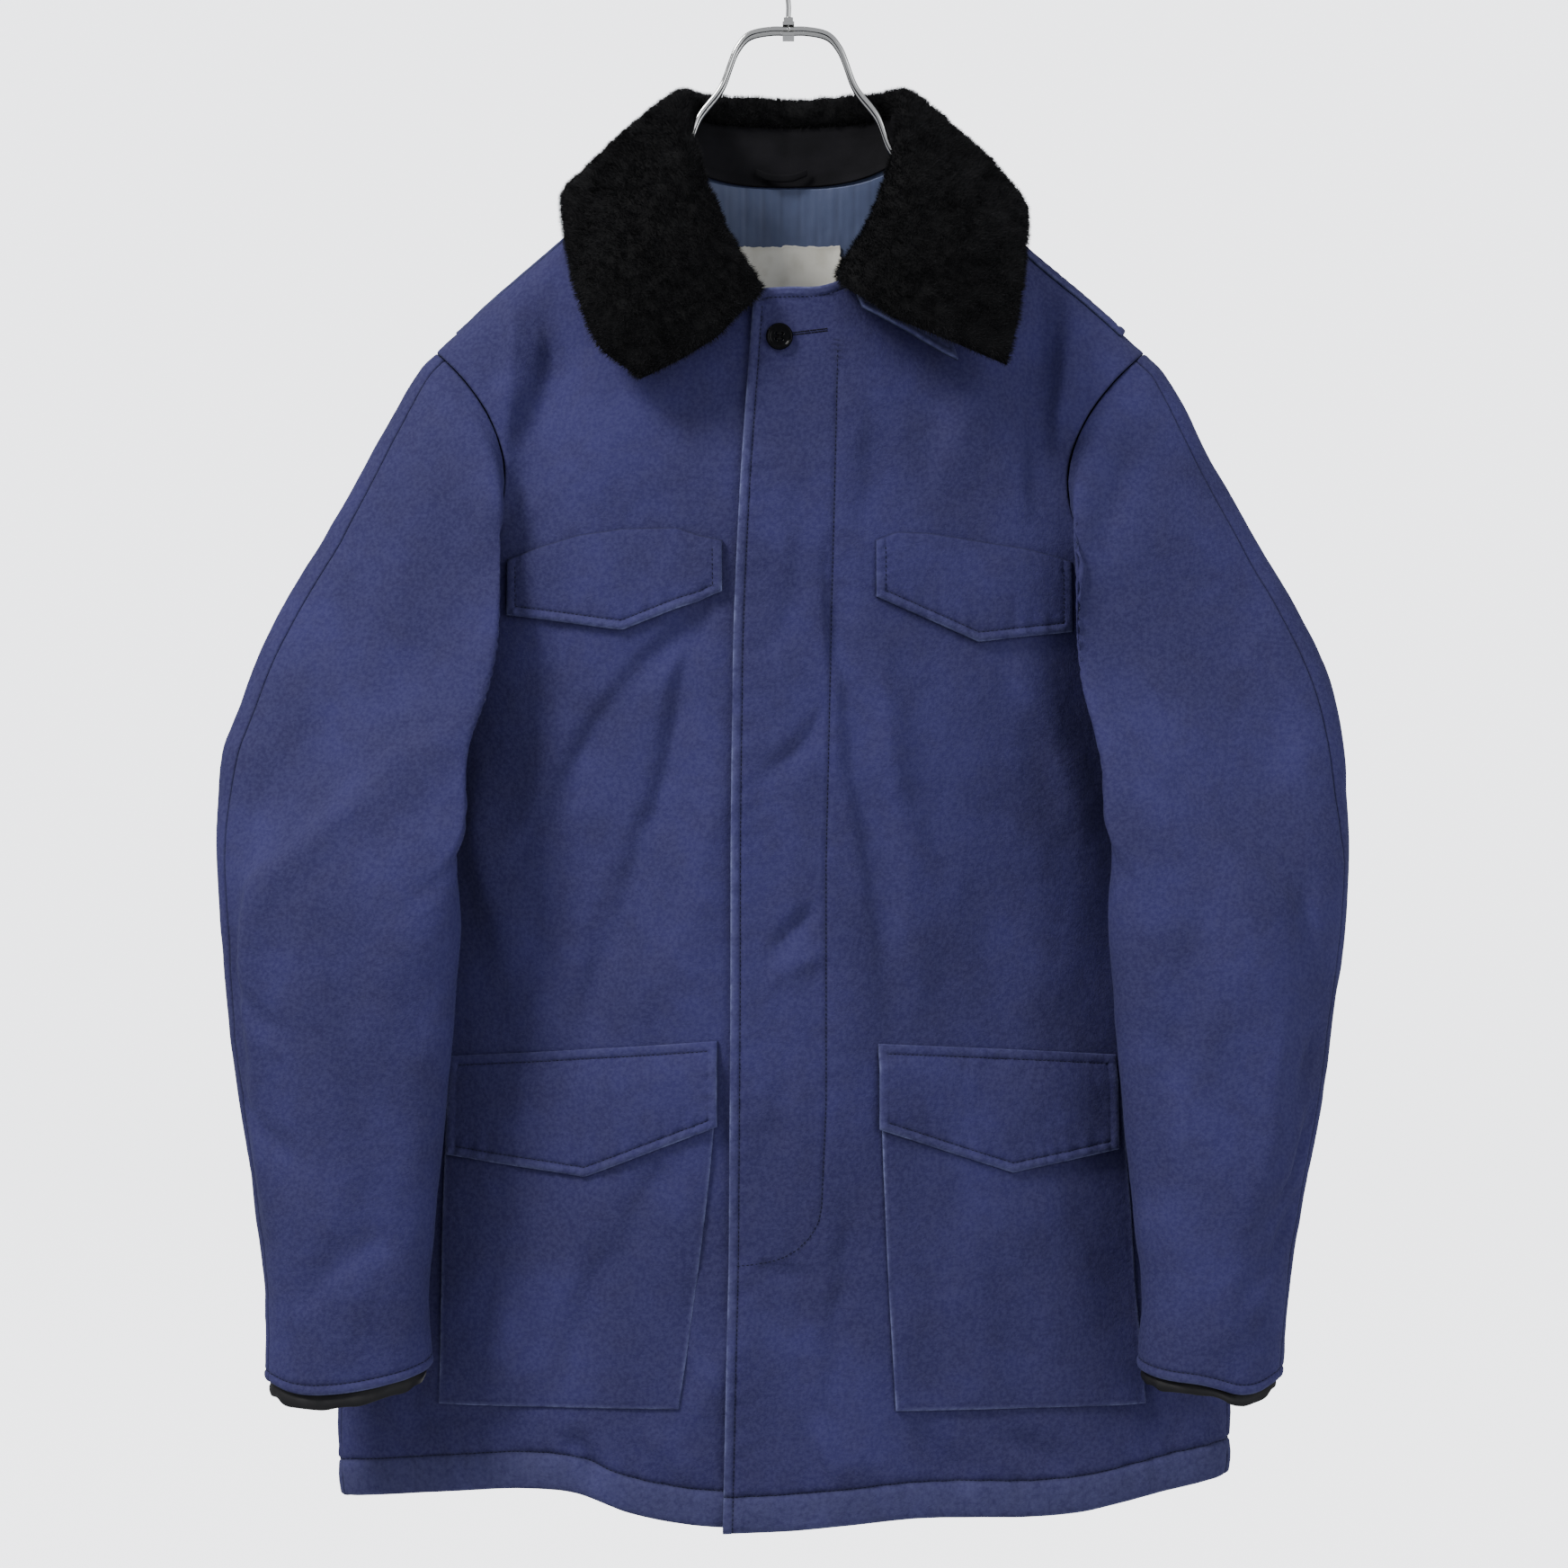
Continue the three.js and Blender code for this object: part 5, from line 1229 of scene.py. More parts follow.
def cuff_piece(side):
    angles = np.linspace(0, 360, 145)
    rows = []
    dip = cuff_dip(side, angles)
    reach = CUFF_REACHES[side].line("reach", angles)
    for share in (-3.0, -2.0, -1.0, -0.3, 0.0, 0.3, 0.55, 0.75, 0.88, 0.96, 1.0):
        below = share * reach
        v = SLEEVE_ROWS + np.minimum(below, 0).mean() / SLEEVE_RING
        ring = np.array([sleeve_point(side, a, v) for a in angles])
        middle = (sleeve_point(side, 0, v) + sleeve_point(side, 180, v)) / 2
        inward = middle - ring
        inward[:, 2] = 0
        uneven = 0.5 * np.sin(np.radians(angles * 7) + side) + 0.4 * np.sin(np.radians(angles * 17))
        inset = SHELL_WALL + 1.6 - 2.4 * float(smoothstep(share, 0, 0.5))
        ring = ring + unit(inward) * (inset + uneven * max(0, share))[:, None]
        ring[:, 2] -= np.maximum(below, 0) + dip + 0.5 * max(0, share) * np.sin(np.radians(angles * 11))
        rows.append(ring)
    grid = lean(np.array(rows))
    down, across = np.gradient(grid, axis=0), np.gradient(grid, axis=1)
    normals = unit(np.cross(across, down)) * side
    normals[:, 0] = normals[:, -1] = unit(normals[:, 0] + normals[:, -1])
    rounded = np.array([0, 0, 0, 0, 0, 0, 0, -0.15, -0.45, -0.9, -1.5])
    outer = grid + normals * rounded[:, None, None]
    inner = grid - normals * (2.0 + rounded * 0.3)[:, None, None]
    rows_n, columns = grid.shape[:2]
    count = rows_n * columns
    faces = np.concatenate([
        faces_of(rows_n, columns, 0, side),
        faces_of(rows_n, columns, count, -side),
        rim_faces(rows_n, columns, count, side, ends=False),
    ])
    points = np.concatenate([outer.reshape(-1, 3), inner.reshape(-1, 3)])
    wear_and_painted_light = np.zeros(grid.shape[:2])
    if side < 0:
        wear_and_painted_light[-4:] = np.exp(-(((angles - 172) / 9) ** 2)) * 0.8
    attributes = {"wear_and_painted_light": np.tile(wear_and_painted_light.ravel(), 2)}
    piece = make_mesh(f"cloth_cuff_{NAMES[side]}", points, faces, TRIM, None, attributes)
    weld(piece)
    return add_piece(piece, "black_cloth", f"cuff_{NAMES[side]}")


def weld(piece, distance=2e-5):
    mesh = bmesh.new()
    mesh.from_mesh(piece.data)
    bmesh.ops.remove_doubles(mesh, verts=mesh.verts, dist=distance)
    mesh.to_mesh(piece.data)
    mesh.free()


cuff_piece(-1)
cuff_piece(1)

# Flaps, pockets and tab, which lie on the fronts
front_trees = {-1: tree_of(right_front), 1: tree_of(left_front, right_front)}
STITCH_PATHS = []


def laid_cloth(side, x, drop, lift, stops, cell=CELL):
    """Cloth that lies on a front. x, drop and lift are given all over it."""
    x = side * x + middle_x(drop)
    starts = np.stack([x, np.full(x.shape, IN_FRONT), -drop], axis=-1)
    hits, normals = cast(front_trees[side], starts, (0, 1, 0))
    hits[..., 1] = blur(hits[..., 1], 5)
    normals = unit(blur(normals, 14))
    grid = hits + normals * lift[..., None]
    return Cloth(grid, -side, *stops, cell=cell, per_cell=1)


def spread(columns, rows):
    u, v = np.meshgrid(np.linspace(0, 1, columns), np.linspace(0, 1, rows))
    return u, v


def nearest_edge(cloth):
    sides = np.minimum(cloth.from_start, cloth.from_end)
    ends = np.minimum(cloth.from_top, cloth.from_bottom)
    along = np.where(sides < ends, cloth.from_top, cloth.from_start)
    return np.minimum(sides, ends), along


def inset_path(cloth, first=EDGE_STOPS.index(TOPSTITCH), sides="tebs"):
    """The stitch line that runs inside a flap's edges: its top, end, bottom and start."""
    rows, columns = cloth.points.shape[:2]
    top, bottom, left, right = first, rows - 1 - first, first, columns - 1 - first
    surface = cloth.raised()
    lines = {
        "t": (slice(top, top + 1), slice(left, right + 1)),
        "e": (slice(top, bottom + 1), slice(right, right + 1)),
        "b": (slice(bottom, bottom + 1), slice(left, right + 1)),
        "s": (slice(top, bottom + 1), slice(left, left + 1)),
    }
    for key in sides:
        a, b = lines[key]
        STITCH_PATHS.append((surface[a, b].reshape(-1, 3), cloth.normals[a, b].reshape(-1, 3)))


def flap_piece(name, side, over_pocket, seed):
    table = FLAPS[name]
    stops = table.rows[:, 0]
    u, v = spread(12 * (len(stops) - 1) + 1, 29)
    x = np.interp(u, np.linspace(0, 1, len(stops)), stops)
    top, bottom = table.line("top", x), table.line("bottom", x)
    drop = mix(top, bottom, v)
    lift = FLAP_LIFT + over_pocket * smoothstep(v, 0, 0.35)
    lift = lift + 0.9 * smoothstep(v, 0.4, 1.0) * (0.7 + 0.5 * noise(x / 40, 0.5, seed))
    lift = lift + 0.8 * np.sin(np.pi * u) * np.sin(np.pi * v)
    edges = (EDGE_STOPS, EDGE_STOPS)
    cloth = laid_cloth(side, x, drop, lift + FLAP_WALL, (edges, edges), 2.4)
    pocket = over_pocket > 1
    distance, along = nearest_edge(cloth)
    sides = np.minimum(cloth.from_start, cloth.from_end)
    at_top = smoothstep(cloth.from_top, 0, 8)
    at_bottom = 1 - smoothstep(cloth.from_bottom - sides, -2, 8)
    if pocket:
        deep = 0.12 + 0.6 * np.maximum(at_bottom, 1 - smoothstep(cloth.from_top - sides, -2, 4))
    else:
        inward = np.minimum(sides, cloth.from_bottom)
        cloth.height += roll(cloth.from_top, 1.2, 2.0)
        # Painted shade: the chest flap's sewn top edge is darkened in the cloth's colour.
        cloth.painted_shade = np.maximum(cloth.painted_shade, 0.8 * np.exp(-((cloth.from_top / 0.8) ** 2)))
        distance, deep = inward, 0.15 + 0.5 * at_bottom
    worn = 0.2 + 0.9 * at_top * (0.4 + 0.6 * at_bottom)
    swell = 0.25 + 0.45 * at_bottom
    cloth.edge(distance, along, seed, worn=worn, puckered=0.45, swell=swell, deep=deep)
    cloth.height += rumple(cloth.x, cloth.drop, seed + 2, 0.4)
    cloth.height += at_bottom * pucker(distance - 3.3, along + 1.1 * distance, 0.8, 3.2, 7.5, seed + 3)
    cloth.height += (0.3 + at_bottom) * pucker(distance - TOPSTITCH, along, 0.7, 9, 14, seed + 4)
    wall(f"cloth_{name}", cloth, FLAP_WALL, COTTON, "shell", name)
    inset_path(cloth, sides="tb" if pocket else "ebs")


def pocket_piece(name, side, seed):
    size = POCKETS[name]
    u, v = spread(49, 49)
    x = mix(mix(*size.inner, v**POCKET_SLANT), mix(*size.outer, v), u)
    drop = mix(size.top, size.bottom, v)
    lift = POCKET_LIFT + POCKET_BULGE * np.sin(np.pi * u) * np.sin(np.pi * v)
    lift = lift + PATCH_WALL + 0.6 * rumple(x, drop, seed)
    edges = (EDGE_STOPS, EDGE_STOPS)
    cloth = laid_cloth(side, x, drop, lift, (edges, ((0.1, 1.5, 4.0), EDGE_STOPS)), 4.0)
    sides = np.minimum(np.minimum(cloth.from_start, cloth.from_end), cloth.from_bottom)
    ends = cloth.from_bottom <= np.minimum(cloth.from_start, cloth.from_end)
    along = np.where(ends, cloth.from_start, cloth.from_top)
    cloth.height -= creases(POCKET_CREASES[side], cloth.x, cloth.drop, seed + 1)
    cloth.edge(sides, along, seed, at=2.2, worn=0.8, puckered=0.3, swell=0.3)
    wall(f"cloth_{name}", cloth, PATCH_WALL, COTTON, "shell", name)


POCKET_CREASES = {
    -1: [
        (-82, 834, -106, 884, 12, 3.2),
        (-106, 880, -154, 984, 13, 3.6),
        (-120, 850, -150, 930, 14, -1.8),
        (-190, 850, -212, 940, 12, 1.6),
        (-66, 900, -72, 975, 10, 1.4),
        (-200, 930, -180, 990, 12, -1.4),
    ],
    1: [
        (120, 840, 104, 950, 12, 1.6),
        (150, 850, 180, 960, 14, -1.6),
        (196, 850, 214, 950, 13, 2.0),
        (84, 850, 92, 980, 10, 1.4),
        (130, 900, 160, 985, 12, 1.8),
    ],
}
pocket_piece("pocket_right", -1, 200)
pocket_piece("pocket_left", 1, 210)
flap_piece("chest_flap_right", -1, CHEST_FLAP_LIFT - FLAP_LIFT, 220)
flap_piece("chest_flap_left", 1, CHEST_FLAP_LIFT - FLAP_LIFT, 230)
POCKET_TOP = POCKET_LIFT + PATCH_WALL + POCKET_BULGE
flap_piece("pocket_flap_right", -1, POCKET_TOP - FLAP_LIFT, 240)
flap_piece("pocket_flap_left", 1, POCKET_TOP - FLAP_LIFT, 250)

u, v = spread(49, 15)
tab_x = mix(46, 112, u) + 9 * (v - 1)
tab_drop = mix(263.5, 297.5, u) + 24 * (v - 1)
edges = (EDGE_STOPS[:7], EDGE_STOPS[:7])
tab = laid_cloth(1, tab_x, tab_drop, 4.5 + FLAP_WALL + 5.5 * v, (edges, edges), 3.2)
tab_distance, tab_along = nearest_edge(tab)
tab.edge(tab_distance, tab_along, 260, at=5.0, worn=1.0, puckered=0.2, deep=0.3)
# Painted light: the whole tab is made paler, to brighten it where the collar's shade falls on it.
tab.wear_and_painted_light = np.maximum(tab.wear_and_painted_light, 0.22)
wall("cloth_throat_tab", tab, FLAP_WALL, COTTON, "shell", "throat_tab")


# Collar
def collar_grid(shares, stations):
    rows = []
    for k in stations:
        side = -1 if k < 0 else 1
        angle = mix(-90, COLLAR[side].rows[-1, 0], min(1, abs(k) / COLLAR_STATIONS))
        row = COLLAR[side].read(angle)
        a = math.radians(angle)
        neck = neckline_point(side, angle)
        neck += [-side * COLLAR_INSET * math.cos(a), COLLAR_INSET * math.sin(a), COLLAR_RISE]
        points = [
            neck,
            np.array([side * row.rollX, row.rollY, -row.rollDrop]),
            np.array([side * row.fallX, row.fallY, -row.fallDrop]),
            np.array([side * row.edgeX, row.edgeY, -row.edgeDrop]),
        ]
        rows.append([curve_point(points, share) for share in shares])
    return lean(np.array(rows).transpose(1, 0, 2))


stations = np.linspace(-COLLAR_STATIONS, COLLAR_STATIONS, 121)
under = Cloth(
    collar_grid(np.linspace(0, 1, 41), stations), 1, (EDGE_STOPS[:5], EDGE_STOPS[:5]),
    (OPEN_STOPS, EDGE_STOPS), cell=5.0, per_cell=1,
)
under.edge(under.from_bottom, under.from_start, 300, worn=0.7)
wall("cloth_collar_under", under, COLLAR_WALL, COTTON, "shell", "collar_under")

STAND_SHARE = 0.2
stand = Cloth(
    collar_grid(np.linspace(0, STAND_SHARE, 31), stations), 1, (OPEN_STOPS, OPEN_STOPS),
    (OPEN_STOPS, OPEN_STOPS), cell=2.2, per_cell=1,
)
for n in range(1, 6):
    line = n / 6 * (stand.from_top + stand.from_bottom)
    stand.height += groove(stand.from_top, line, 1.0, 0.3)
    # Painted shade: each groove of the stand is darkened in its colour.
    stand.painted_shade = np.maximum(stand.painted_shade, 0.4 * np.exp(-(((stand.from_top - line) / 0.8) ** 2)))
stand.height += rumple(stand.from_start, stand.from_top, 310, 0.3)
wall("cloth_collar_stand", stand, COLLAR_WALL, BLACK, "black_cloth", "collar_stand", 2.2)


def extended(grid, rows, first, last):
    """A grid carried past its last row, and past its first and last columns by reaches down them."""
    grid = np.concatenate([grid, grid[-1:] + unit(grid[-1:] - grid[-2:-1]) * rows])
    down = np.linspace(0, 1, len(grid))
    first, last = (np.interp(down, np.linspace(0, 1, len(r)), r)[:, None] for r in (first, last))
    before = grid[:, 0] + unit(grid[:, 0] - grid[:, 1]) * first
    after = grid[:, -1] + unit(grid[:, -1] - grid[:, -2]) * last
    return np.concatenate([before[:, None], grid, after[:, None]], axis=1)


SKIN = 5.4
PILE_START = 0.2
pile_stops = (0.0, 0.4, 1.2, 2.6, 4.6, 7.0, 10.0)
skin_grid = extended(
    collar_grid(np.linspace(PILE_START, 1, 61), stations), 1.2, (5, 16, 18, 15, 9), (5, 18, 19, 15, 12)
)
skin = Cloth(skin_grid, 1, (pile_stops, pile_stops), (pile_stops, pile_stops), cell=2.6, per_cell=1)
near = np.minimum(np.minimum(skin.from_start, skin.from_end), np.minimum(skin.from_top, skin.from_bottom))
crown = np.sqrt(np.clip(1 - (1 - np.clip(near / 9, 0, 1)) ** 2, 0, 1))
lumps = 0.8 * noise(skin.from_start / 17, skin.from_top / 15, 320)
lumps = lumps + 0.45 * noise(skin.from_start / 7, skin.from_top / 6, 321)
skin.height = (SKIN + lumps) * crown
skin_points = skin.raised(0.7)
wall("pile_skin", skin, 0.6, PILE_BLACK, "pile", "collar_fur", 0.7)


def hairs(count, seed):
    """Points on the skin with the directions in which its pile stands."""
    rng = np.random.default_rng(seed)
    p = skin_points
    a, b, c, d = p[:-1, :-1], p[:-1, 1:], p[1:, 1:], p[1:, :-1]
    area = np.linalg.norm(np.cross(c - a, d - b), axis=-1).ravel()
    cell = rng.choice(len(area), size=count, p=area / area.sum())
    j, i = np.divmod(cell, p.shape[1] - 1)
    s, t = rng.random(count)[:, None], rng.random(count)[:, None]

    def between(g):
        top = g[j, i] * (1 - t) + g[j, i + 1] * t
        return top * (1 - s) + g[j + 1, i + 1] * t * s + g[j + 1, i] * (1 - t) * s

    down, across = np.gradient(p, axis=0), np.gradient(p, axis=1)
    out = unit(np.cross(across, down))
    root, normal = between(p), unit(between(out))
    combed = unit(between(unit(down)))
    lean_to = np.stack([noise(root[:, 0] / 5, root[:, 2] / 5, seed + n) for n in range(3)], axis=1)
    lean_far = np.stack([noise(root[:, 0] / 16, root[:, 2] / 16, seed + 4 + n) for n in range(3)], axis=1)
    loose = rng.normal(0, 0.28, (count, 3))
    direction = unit(normal + 0.35 * combed + 0.55 * lean_to + 0.35 * lean_far + loose)
    return rng, root, normal, direction


def pile_hairs(count, seed):
    rng, root, normal, direction = hairs(count, seed)
    length = rng.uniform(3.4, 5.8, count)[:, None]
    sideways = unit(np.cross(direction, rng.normal(0, 1, (count, 3))))
    width = rng.uniform(0.16, 0.3, count)[:, None]
    base = root - normal * 1.2
    tip = base + direction * length
    tip[:, 2] -= 0.5 * rng.random(count)
    points = np.stack([base - sideways * width, base + sideways * width, tip], axis=1)
    patches = 0.15 * noise(root[:, 0] / 9, root[:, 2] / 9, seed)
    shade = np.clip(rng.normal(0.22, 0.16, count) + patches, 0, 1)
    # A random tone for each hair, with a painted highlight: each hair is ten times lighter at its tip than
    # at its root.
    tone_and_tip_highlight = np.stack([shade * 0.1, shade * 0.1, shade], axis=1)
    split = np.array_split(np.argsort(root[:, 0]), 3)
    for name, part in zip(("right", "back", "left"), split):
        faces = np.arange(len(part) * 3).reshape(-1, 3)
        attributes = {"tone_and_tip_highlight": tone_and_tip_highlight[part].ravel()}
        corners = points[part].reshape(-1, 3)
        made = make_mesh(f"pile_{name}", corners, faces, PILE_BLACK, None, attributes, False)
        add_piece(made, "pile")


pile_hairs(210000, 400)

# Shoulder straps, across the shoulder seams
for side in (-1, 1):
    front, back = GRIDS[f"{NAMES[side]}_front"], GRIDS[f"{NAMES[side]}_back"]
    tree = tree_of(left_front, left_back) if side > 0 else tree_of(right_front, right_back)
    columns = np.linspace(1, 8, 57)
    stops = [(front, r) for r in np.linspace(0.5, 0, 8)] + [(back, r) for r in np.linspace(0.1, 1, 12)]
    if side < 0:
        stops = [(back, r) for r in np.linspace(0.14, 1.2, 20)]
    rows = []
    for grid, r in stops:
        line = grid[0] * (1 - r) + grid[1] * r
        rows.append(read_along(columns, np.arange(FRONT_COLUMNS + 1), line))
    base = np.array(rows).transpose(1, 0, 2)
    down, across = np.gradient(base, axis=0), np.gradient(base, axis=1)
    normals = unit(blur(unit(np.cross(across, down)) * side, 12))
    hits, _ = cast(tree, base + normals * 25, -normals)
    reach = blur(np.sum((hits - base) * normals, axis=-1), 8)
    strap_grid = base + normals * (reach + 0.6 + FLAP_WALL)[..., None]
    edges = (EDGE_STOPS, EDGE_STOPS)
    strap = Cloth(strap_grid, side, edges, edges, cell=3.6, per_cell=1)
    strap_distance, strap_along = nearest_edge(strap)
    strap.edge(strap_distance, strap_along, 500 + side, worn=0.35)
    name = f"shoulder_strap_{NAMES[side]}"
    wall(f"cloth_{name}", strap, FLAP_WALL, COTTON, "shell", name)
    inset_path(strap)

# Lining and label inside the back of the neck
back_tree = tree_of(right_back, left_back)


def inside_back(x, drop, inward, stops, cell):
    """Cloth that hangs inside the back, in front of its inner face."""
    starts = np.stack([x + middle_x(drop), np.zeros(x.shape), -drop], axis=-1)
    hits, normals = cast(back_tree, starts, (0, 1, 0))
    hits[..., 1] = blur(hits[..., 1], 8)
    normals = unit(blur(normals, 20))
    return Cloth(hits + normals * inward, -1, *stops, cell=cell, per_cell=1)


CHANNEL_PITCH = 12.5
u, v = spread(71, 61)
lining_x = -70 + 140 * u
neck_drop = NECK_DROP + (BACK_NECK_DROP - NECK_DROP) * (1 - np.abs(lining_x / NECK_HALF_WIDTH) ** 3)
lining_drop = neck_drop + 3 + (335 - neck_drop - 3) * v
ends = (OPEN_STOPS, OPEN_STOPS)
inner_lining = inside_back(lining_x, lining_drop, SHELL_WALL + LINING_LIFT, (ends, ends), 2.4)
uneven = 0.3 * noise(inner_lining.x / 40, inner_lining.drop / 60, 330)
channel = np.abs((inner_lining.x / CHANNEL_PITCH + uneven) % 1 - 0.5)
inner_lining.height += 0.9 * np.sin(np.pi * channel * 2) ** 0.5
inner_lining.height += rumple(inner_lining.x, inner_lining.drop, 331, 0.5)
# Painted shade: the stitched lines between the lining's channels are darkened in its colour.
inner_lining.painted_shade = np.exp(-((channel / 0.07) ** 2)) * 0.5
wall("cloth_neck_lining", inner_lining, 1.2, LINING, "lining", "neck_lining")

u, v = spread(76, 65)
ragged = 0.7 * noise(u * 30, v * 30, 340) + 0.4 * noise(u * 75, v * 75, 341)
label_x = -38 + 75 * u + ragged * (np.abs(u - 0.5) > 0.47)
label_drop = 208 + 64 * v + ragged * (np.abs(v - 0.5) > 0.47)
label = inside_back(label_x, label_drop, SHELL_WALL + LINING_LIFT + 2.0, (ends, ends), 1.6)
label_distance, label_along = nearest_edge(label)
label.height += rumple(label.x, label.drop, 342, 0.5) + 0.8 * np.exp(-label_distance / 5)
label.wear_and_painted_light = 0.8 * np.exp(-label_distance / 1.6) * (0.6 + 0.6 * noise(label_along / 5, 0.5, 343))
wall("cloth_label", label, 0.7, LABEL, "label", "label")


# Stitches
def octahedra(centres, along, normals, long, wide):
    across = unit(np.cross(along, normals))
    corners = [along * long, -along * long, across * wide, -across * wide, normals * wide, -normals * wide]
    points = (centres[:, None] + np.stack(corners, axis=1)).reshape(-1, 3)
    shape = [(0, 2, 4), (0, 4, 3), (0, 3, 5), (0, 5, 2), (1, 4, 2), (1, 3, 4), (1, 5, 3), (1, 2, 5)]
    faces = (np.arange(len(centres))[:, None, None] * 6 + np.array(shape)[None]).reshape(-1, 3)
    return points, faces


def sewn(paths, name, material, slot, pitch=3.0, long=1.2, wide=0.34, seed=70):
    rng = np.random.default_rng(seed)
    all_points, all_faces, first = [], [], 0
    for points, normals in paths:
        steps = np.linalg.norm(np.diff(points, axis=0), axis=1)
        length = np.concatenate([[0], np.cumsum(steps)])
        count = max(2, int(length[-1] / pitch))
        at = (np.arange(count) + 0.5) * length[-1] / count + rng.normal(0, 0.12, count)
        centre = read_along(at, length, points)
        along = unit(read_along(at + 0.5, length, points) - read_along(at - 0.5, length, points))
        normal = unit(read_along(at, length, normals))
        p, f = octahedra(centre + normal * 0.12, along, normal, long, wide)
        all_points.append(p)
        all_faces.append(f + first)
        first += len(p)
    made = make_mesh(name, np.concatenate(all_points), np.concatenate(all_faces), material)
    return add_piece(made, slot)


def line_of(cloth, values, target, axis):
    """The path along a cloth where values has one value. It is looked for along each row (axis 1) or
    each column (axis 0)."""
    surface, normals = cloth.raised(), cloth.normals
    if axis == 0:
        surface, values, normals = surface.transpose(1, 0, 2), values.T, normals.transpose(1, 0, 2)
    points, directions = [], []
    for line, value, normal in zip(surface, values, normals):
        order = np.argsort(value)
        points.append(read_along([target], value[order], line[order])[0])
        directions.append(read_along([target], value[order], normal[order])[0])
    STITCH_PATHS.append((np.array(points), np.array(directions)))


line_of(left_front, left_front.to_edge, TOPSTITCH, 1)
line_of(right_front, right_front.to_edge, TOPSTITCH, 1)
for cloth in (left_front, right_front, left_back, right_back):
    line_of(cloth, cloth.from_bottom, HEM_TURN, 0)
for cloth in sleeves.values():
    line_of(cloth, cloth.from_bottom, TOPSTITCH, 0)

# The fly's stitches turn a rounded corner to the lap's edge.
bends = FLY_STITCH.rows
lengths = np.concatenate([[0], np.cumsum(np.linalg.norm(np.diff(bends, axis=0), axis=1))])
fly_x, fly_drop = (np.interp(np.arange(0, lengths[-1], 3.0), lengths, bends[:, k]) for k in range(2))
starts = np.stack([fly_x, np.full(len(fly_x), IN_FRONT), -fly_drop], axis=1)[None]
hits, normals = cast(front_trees[1], starts, (0, 1, 0))
STITCH_PATHS.append((hits[0], normals[0]))
sewn(STITCH_PATHS, "stitches", DARK_THREAD, "shell")


# Button
def lathe(name, section, sides, material):
    """A turned form about Z from (radius, height) pairs that start and end on its axis."""
    points, faces = [], []
    for radius, height in section:
        for k in range(sides):
            a = 2 * math.pi * k / sides
            points.append((radius * math.cos(a), radius * math.sin(a), height))
    for j in range(len(section) - 1):
        for k in range(sides):
            a, b = j * sides + k, j * sides + (k + 1) % sides
            faces.append((a, b, b + sides, a + sides))
    made = make_mesh(name, np.array(points), np.array(faces), material)
    weld(made, 1e-6)
    return made


def tube(name, line, radius, material, sides):
    """A round wire along a line of points, with flat ends."""
    line = np.asarray(line, float)
    tangent = unit(np.gradient(line, axis=0))
    side = unit(np.cross(tangent[0], [0.13, 0.97, 0.2]))
    rings = []
    angles = 2 * np.pi * np.arange(sides) / sides
    for p, t in zip(line, tangent):
        side = unit(side - t * np.dot(side, t))
        other = np.cross(t, side)
        rings.append(p + radius * (np.cos(angles)[:, None] * side + np.sin(angles)[:, None] * other))
    count = len(line)
    points = np.concatenate([*rings, line[:1], line[-1:]])
    j, k = np.meshgrid(np.arange(count - 1), np.arange(sides), indexing="ij")
    a, b = j * sides + k, j * sides + (k + 1) % sides
    quads = np.stack([a, a + sides, b + sides, b], axis=-1).reshape(-1, 4)[:, ::-1]
    k = np.arange(sides)
    after = (k + 1) % sides
    first, last = count * sides, count * sides + 1
    start = np.stack([np.full(sides, first), after, k, k], axis=1)
    end = np.stack([np.full(sides, last), (count - 1) * sides + k, (count - 1) * sides + after], axis=1)
    mesh = bpy.data.meshes.new(name)
    faces = quads.tolist() + start[:, :3].tolist() + end.tolist()
    mesh.from_pydata((points * MM).tolist(), [], faces)
    mesh.polygons.foreach_set("use_smooth", [True] * len(quads) + [False] * (2 * sides))
    mesh.materials.append(material)
    piece = bpy.data.objects.new(name, mesh)
    bpy.context.scene.collection.objects.link(piece)
    return piece


def apply_modifiers(piece):
    bpy.context.view_layer.update()
    evaluated = piece.evaluated_get(bpy.context.evaluated_depsgraph_get())
    piece.data = bpy.data.meshes.new_from_object(evaluated)
    piece.modifiers.clear()


def place(piece, position, normal):
    """Stands a form that was made along Z on a seat, and leaves the place in its points."""
    turn = Vector((0, 0, 1)).rotation_difference(Vector(normal)).to_matrix().to_4x4()
    turn.translation = Vector(position) * MM
    piece.data.transform(turn)


button_at = np.array([[[-6 + middle_x(BUTTON_DROP), IN_FRONT, -BUTTON_DROP]]])
hit, normal = cast(front_trees[1], button_at, (0, 1, 0))
button_normal = unit(normal[0, 0] + np.array([0, -2.0, 0]))
SECTION = [
    (0, 0), (7.4, 0), (8.4, 0.35), (8.9, 1.0), (9.0, 1.8), (8.9, 2.6), (8.5, 3.15), (7.9, 3.4), (7.3, 3.3),
    (6.8, 2.9), (6.3, 2.5), (5.6, 2.35), (4.2, 2.32), (0, 2.3),
]
button = lathe("button", SECTION, 72, RESIN)
HOLE_OFF = 1.75  # each thread hole, from the button's axis both ways
cutters = []
for x in (-HOLE_OFF, HOLE_OFF):
    for y in (-HOLE_OFF, HOLE_OFF):
        cutters.append(tube(f"hole_{len(cutters)}", [(x, y, -1), (x, y, 5)], 0.95, RESIN, 24))
for cutter in cutters:
    cut = button.modifiers.new("hole", "BOOLEAN")
    cut.object = cutter
    cut.operation = "DIFFERENCE"
    cut.solver = "EXACT"
apply_modifiers(button)
for cutter in cutters:
    bpy.data.objects.remove(cutter)
seat = hit[0, 0] + button_normal * 0.7
place(button, seat, button_normal)
add_piece(button, "button", "neck_button")
threads = []
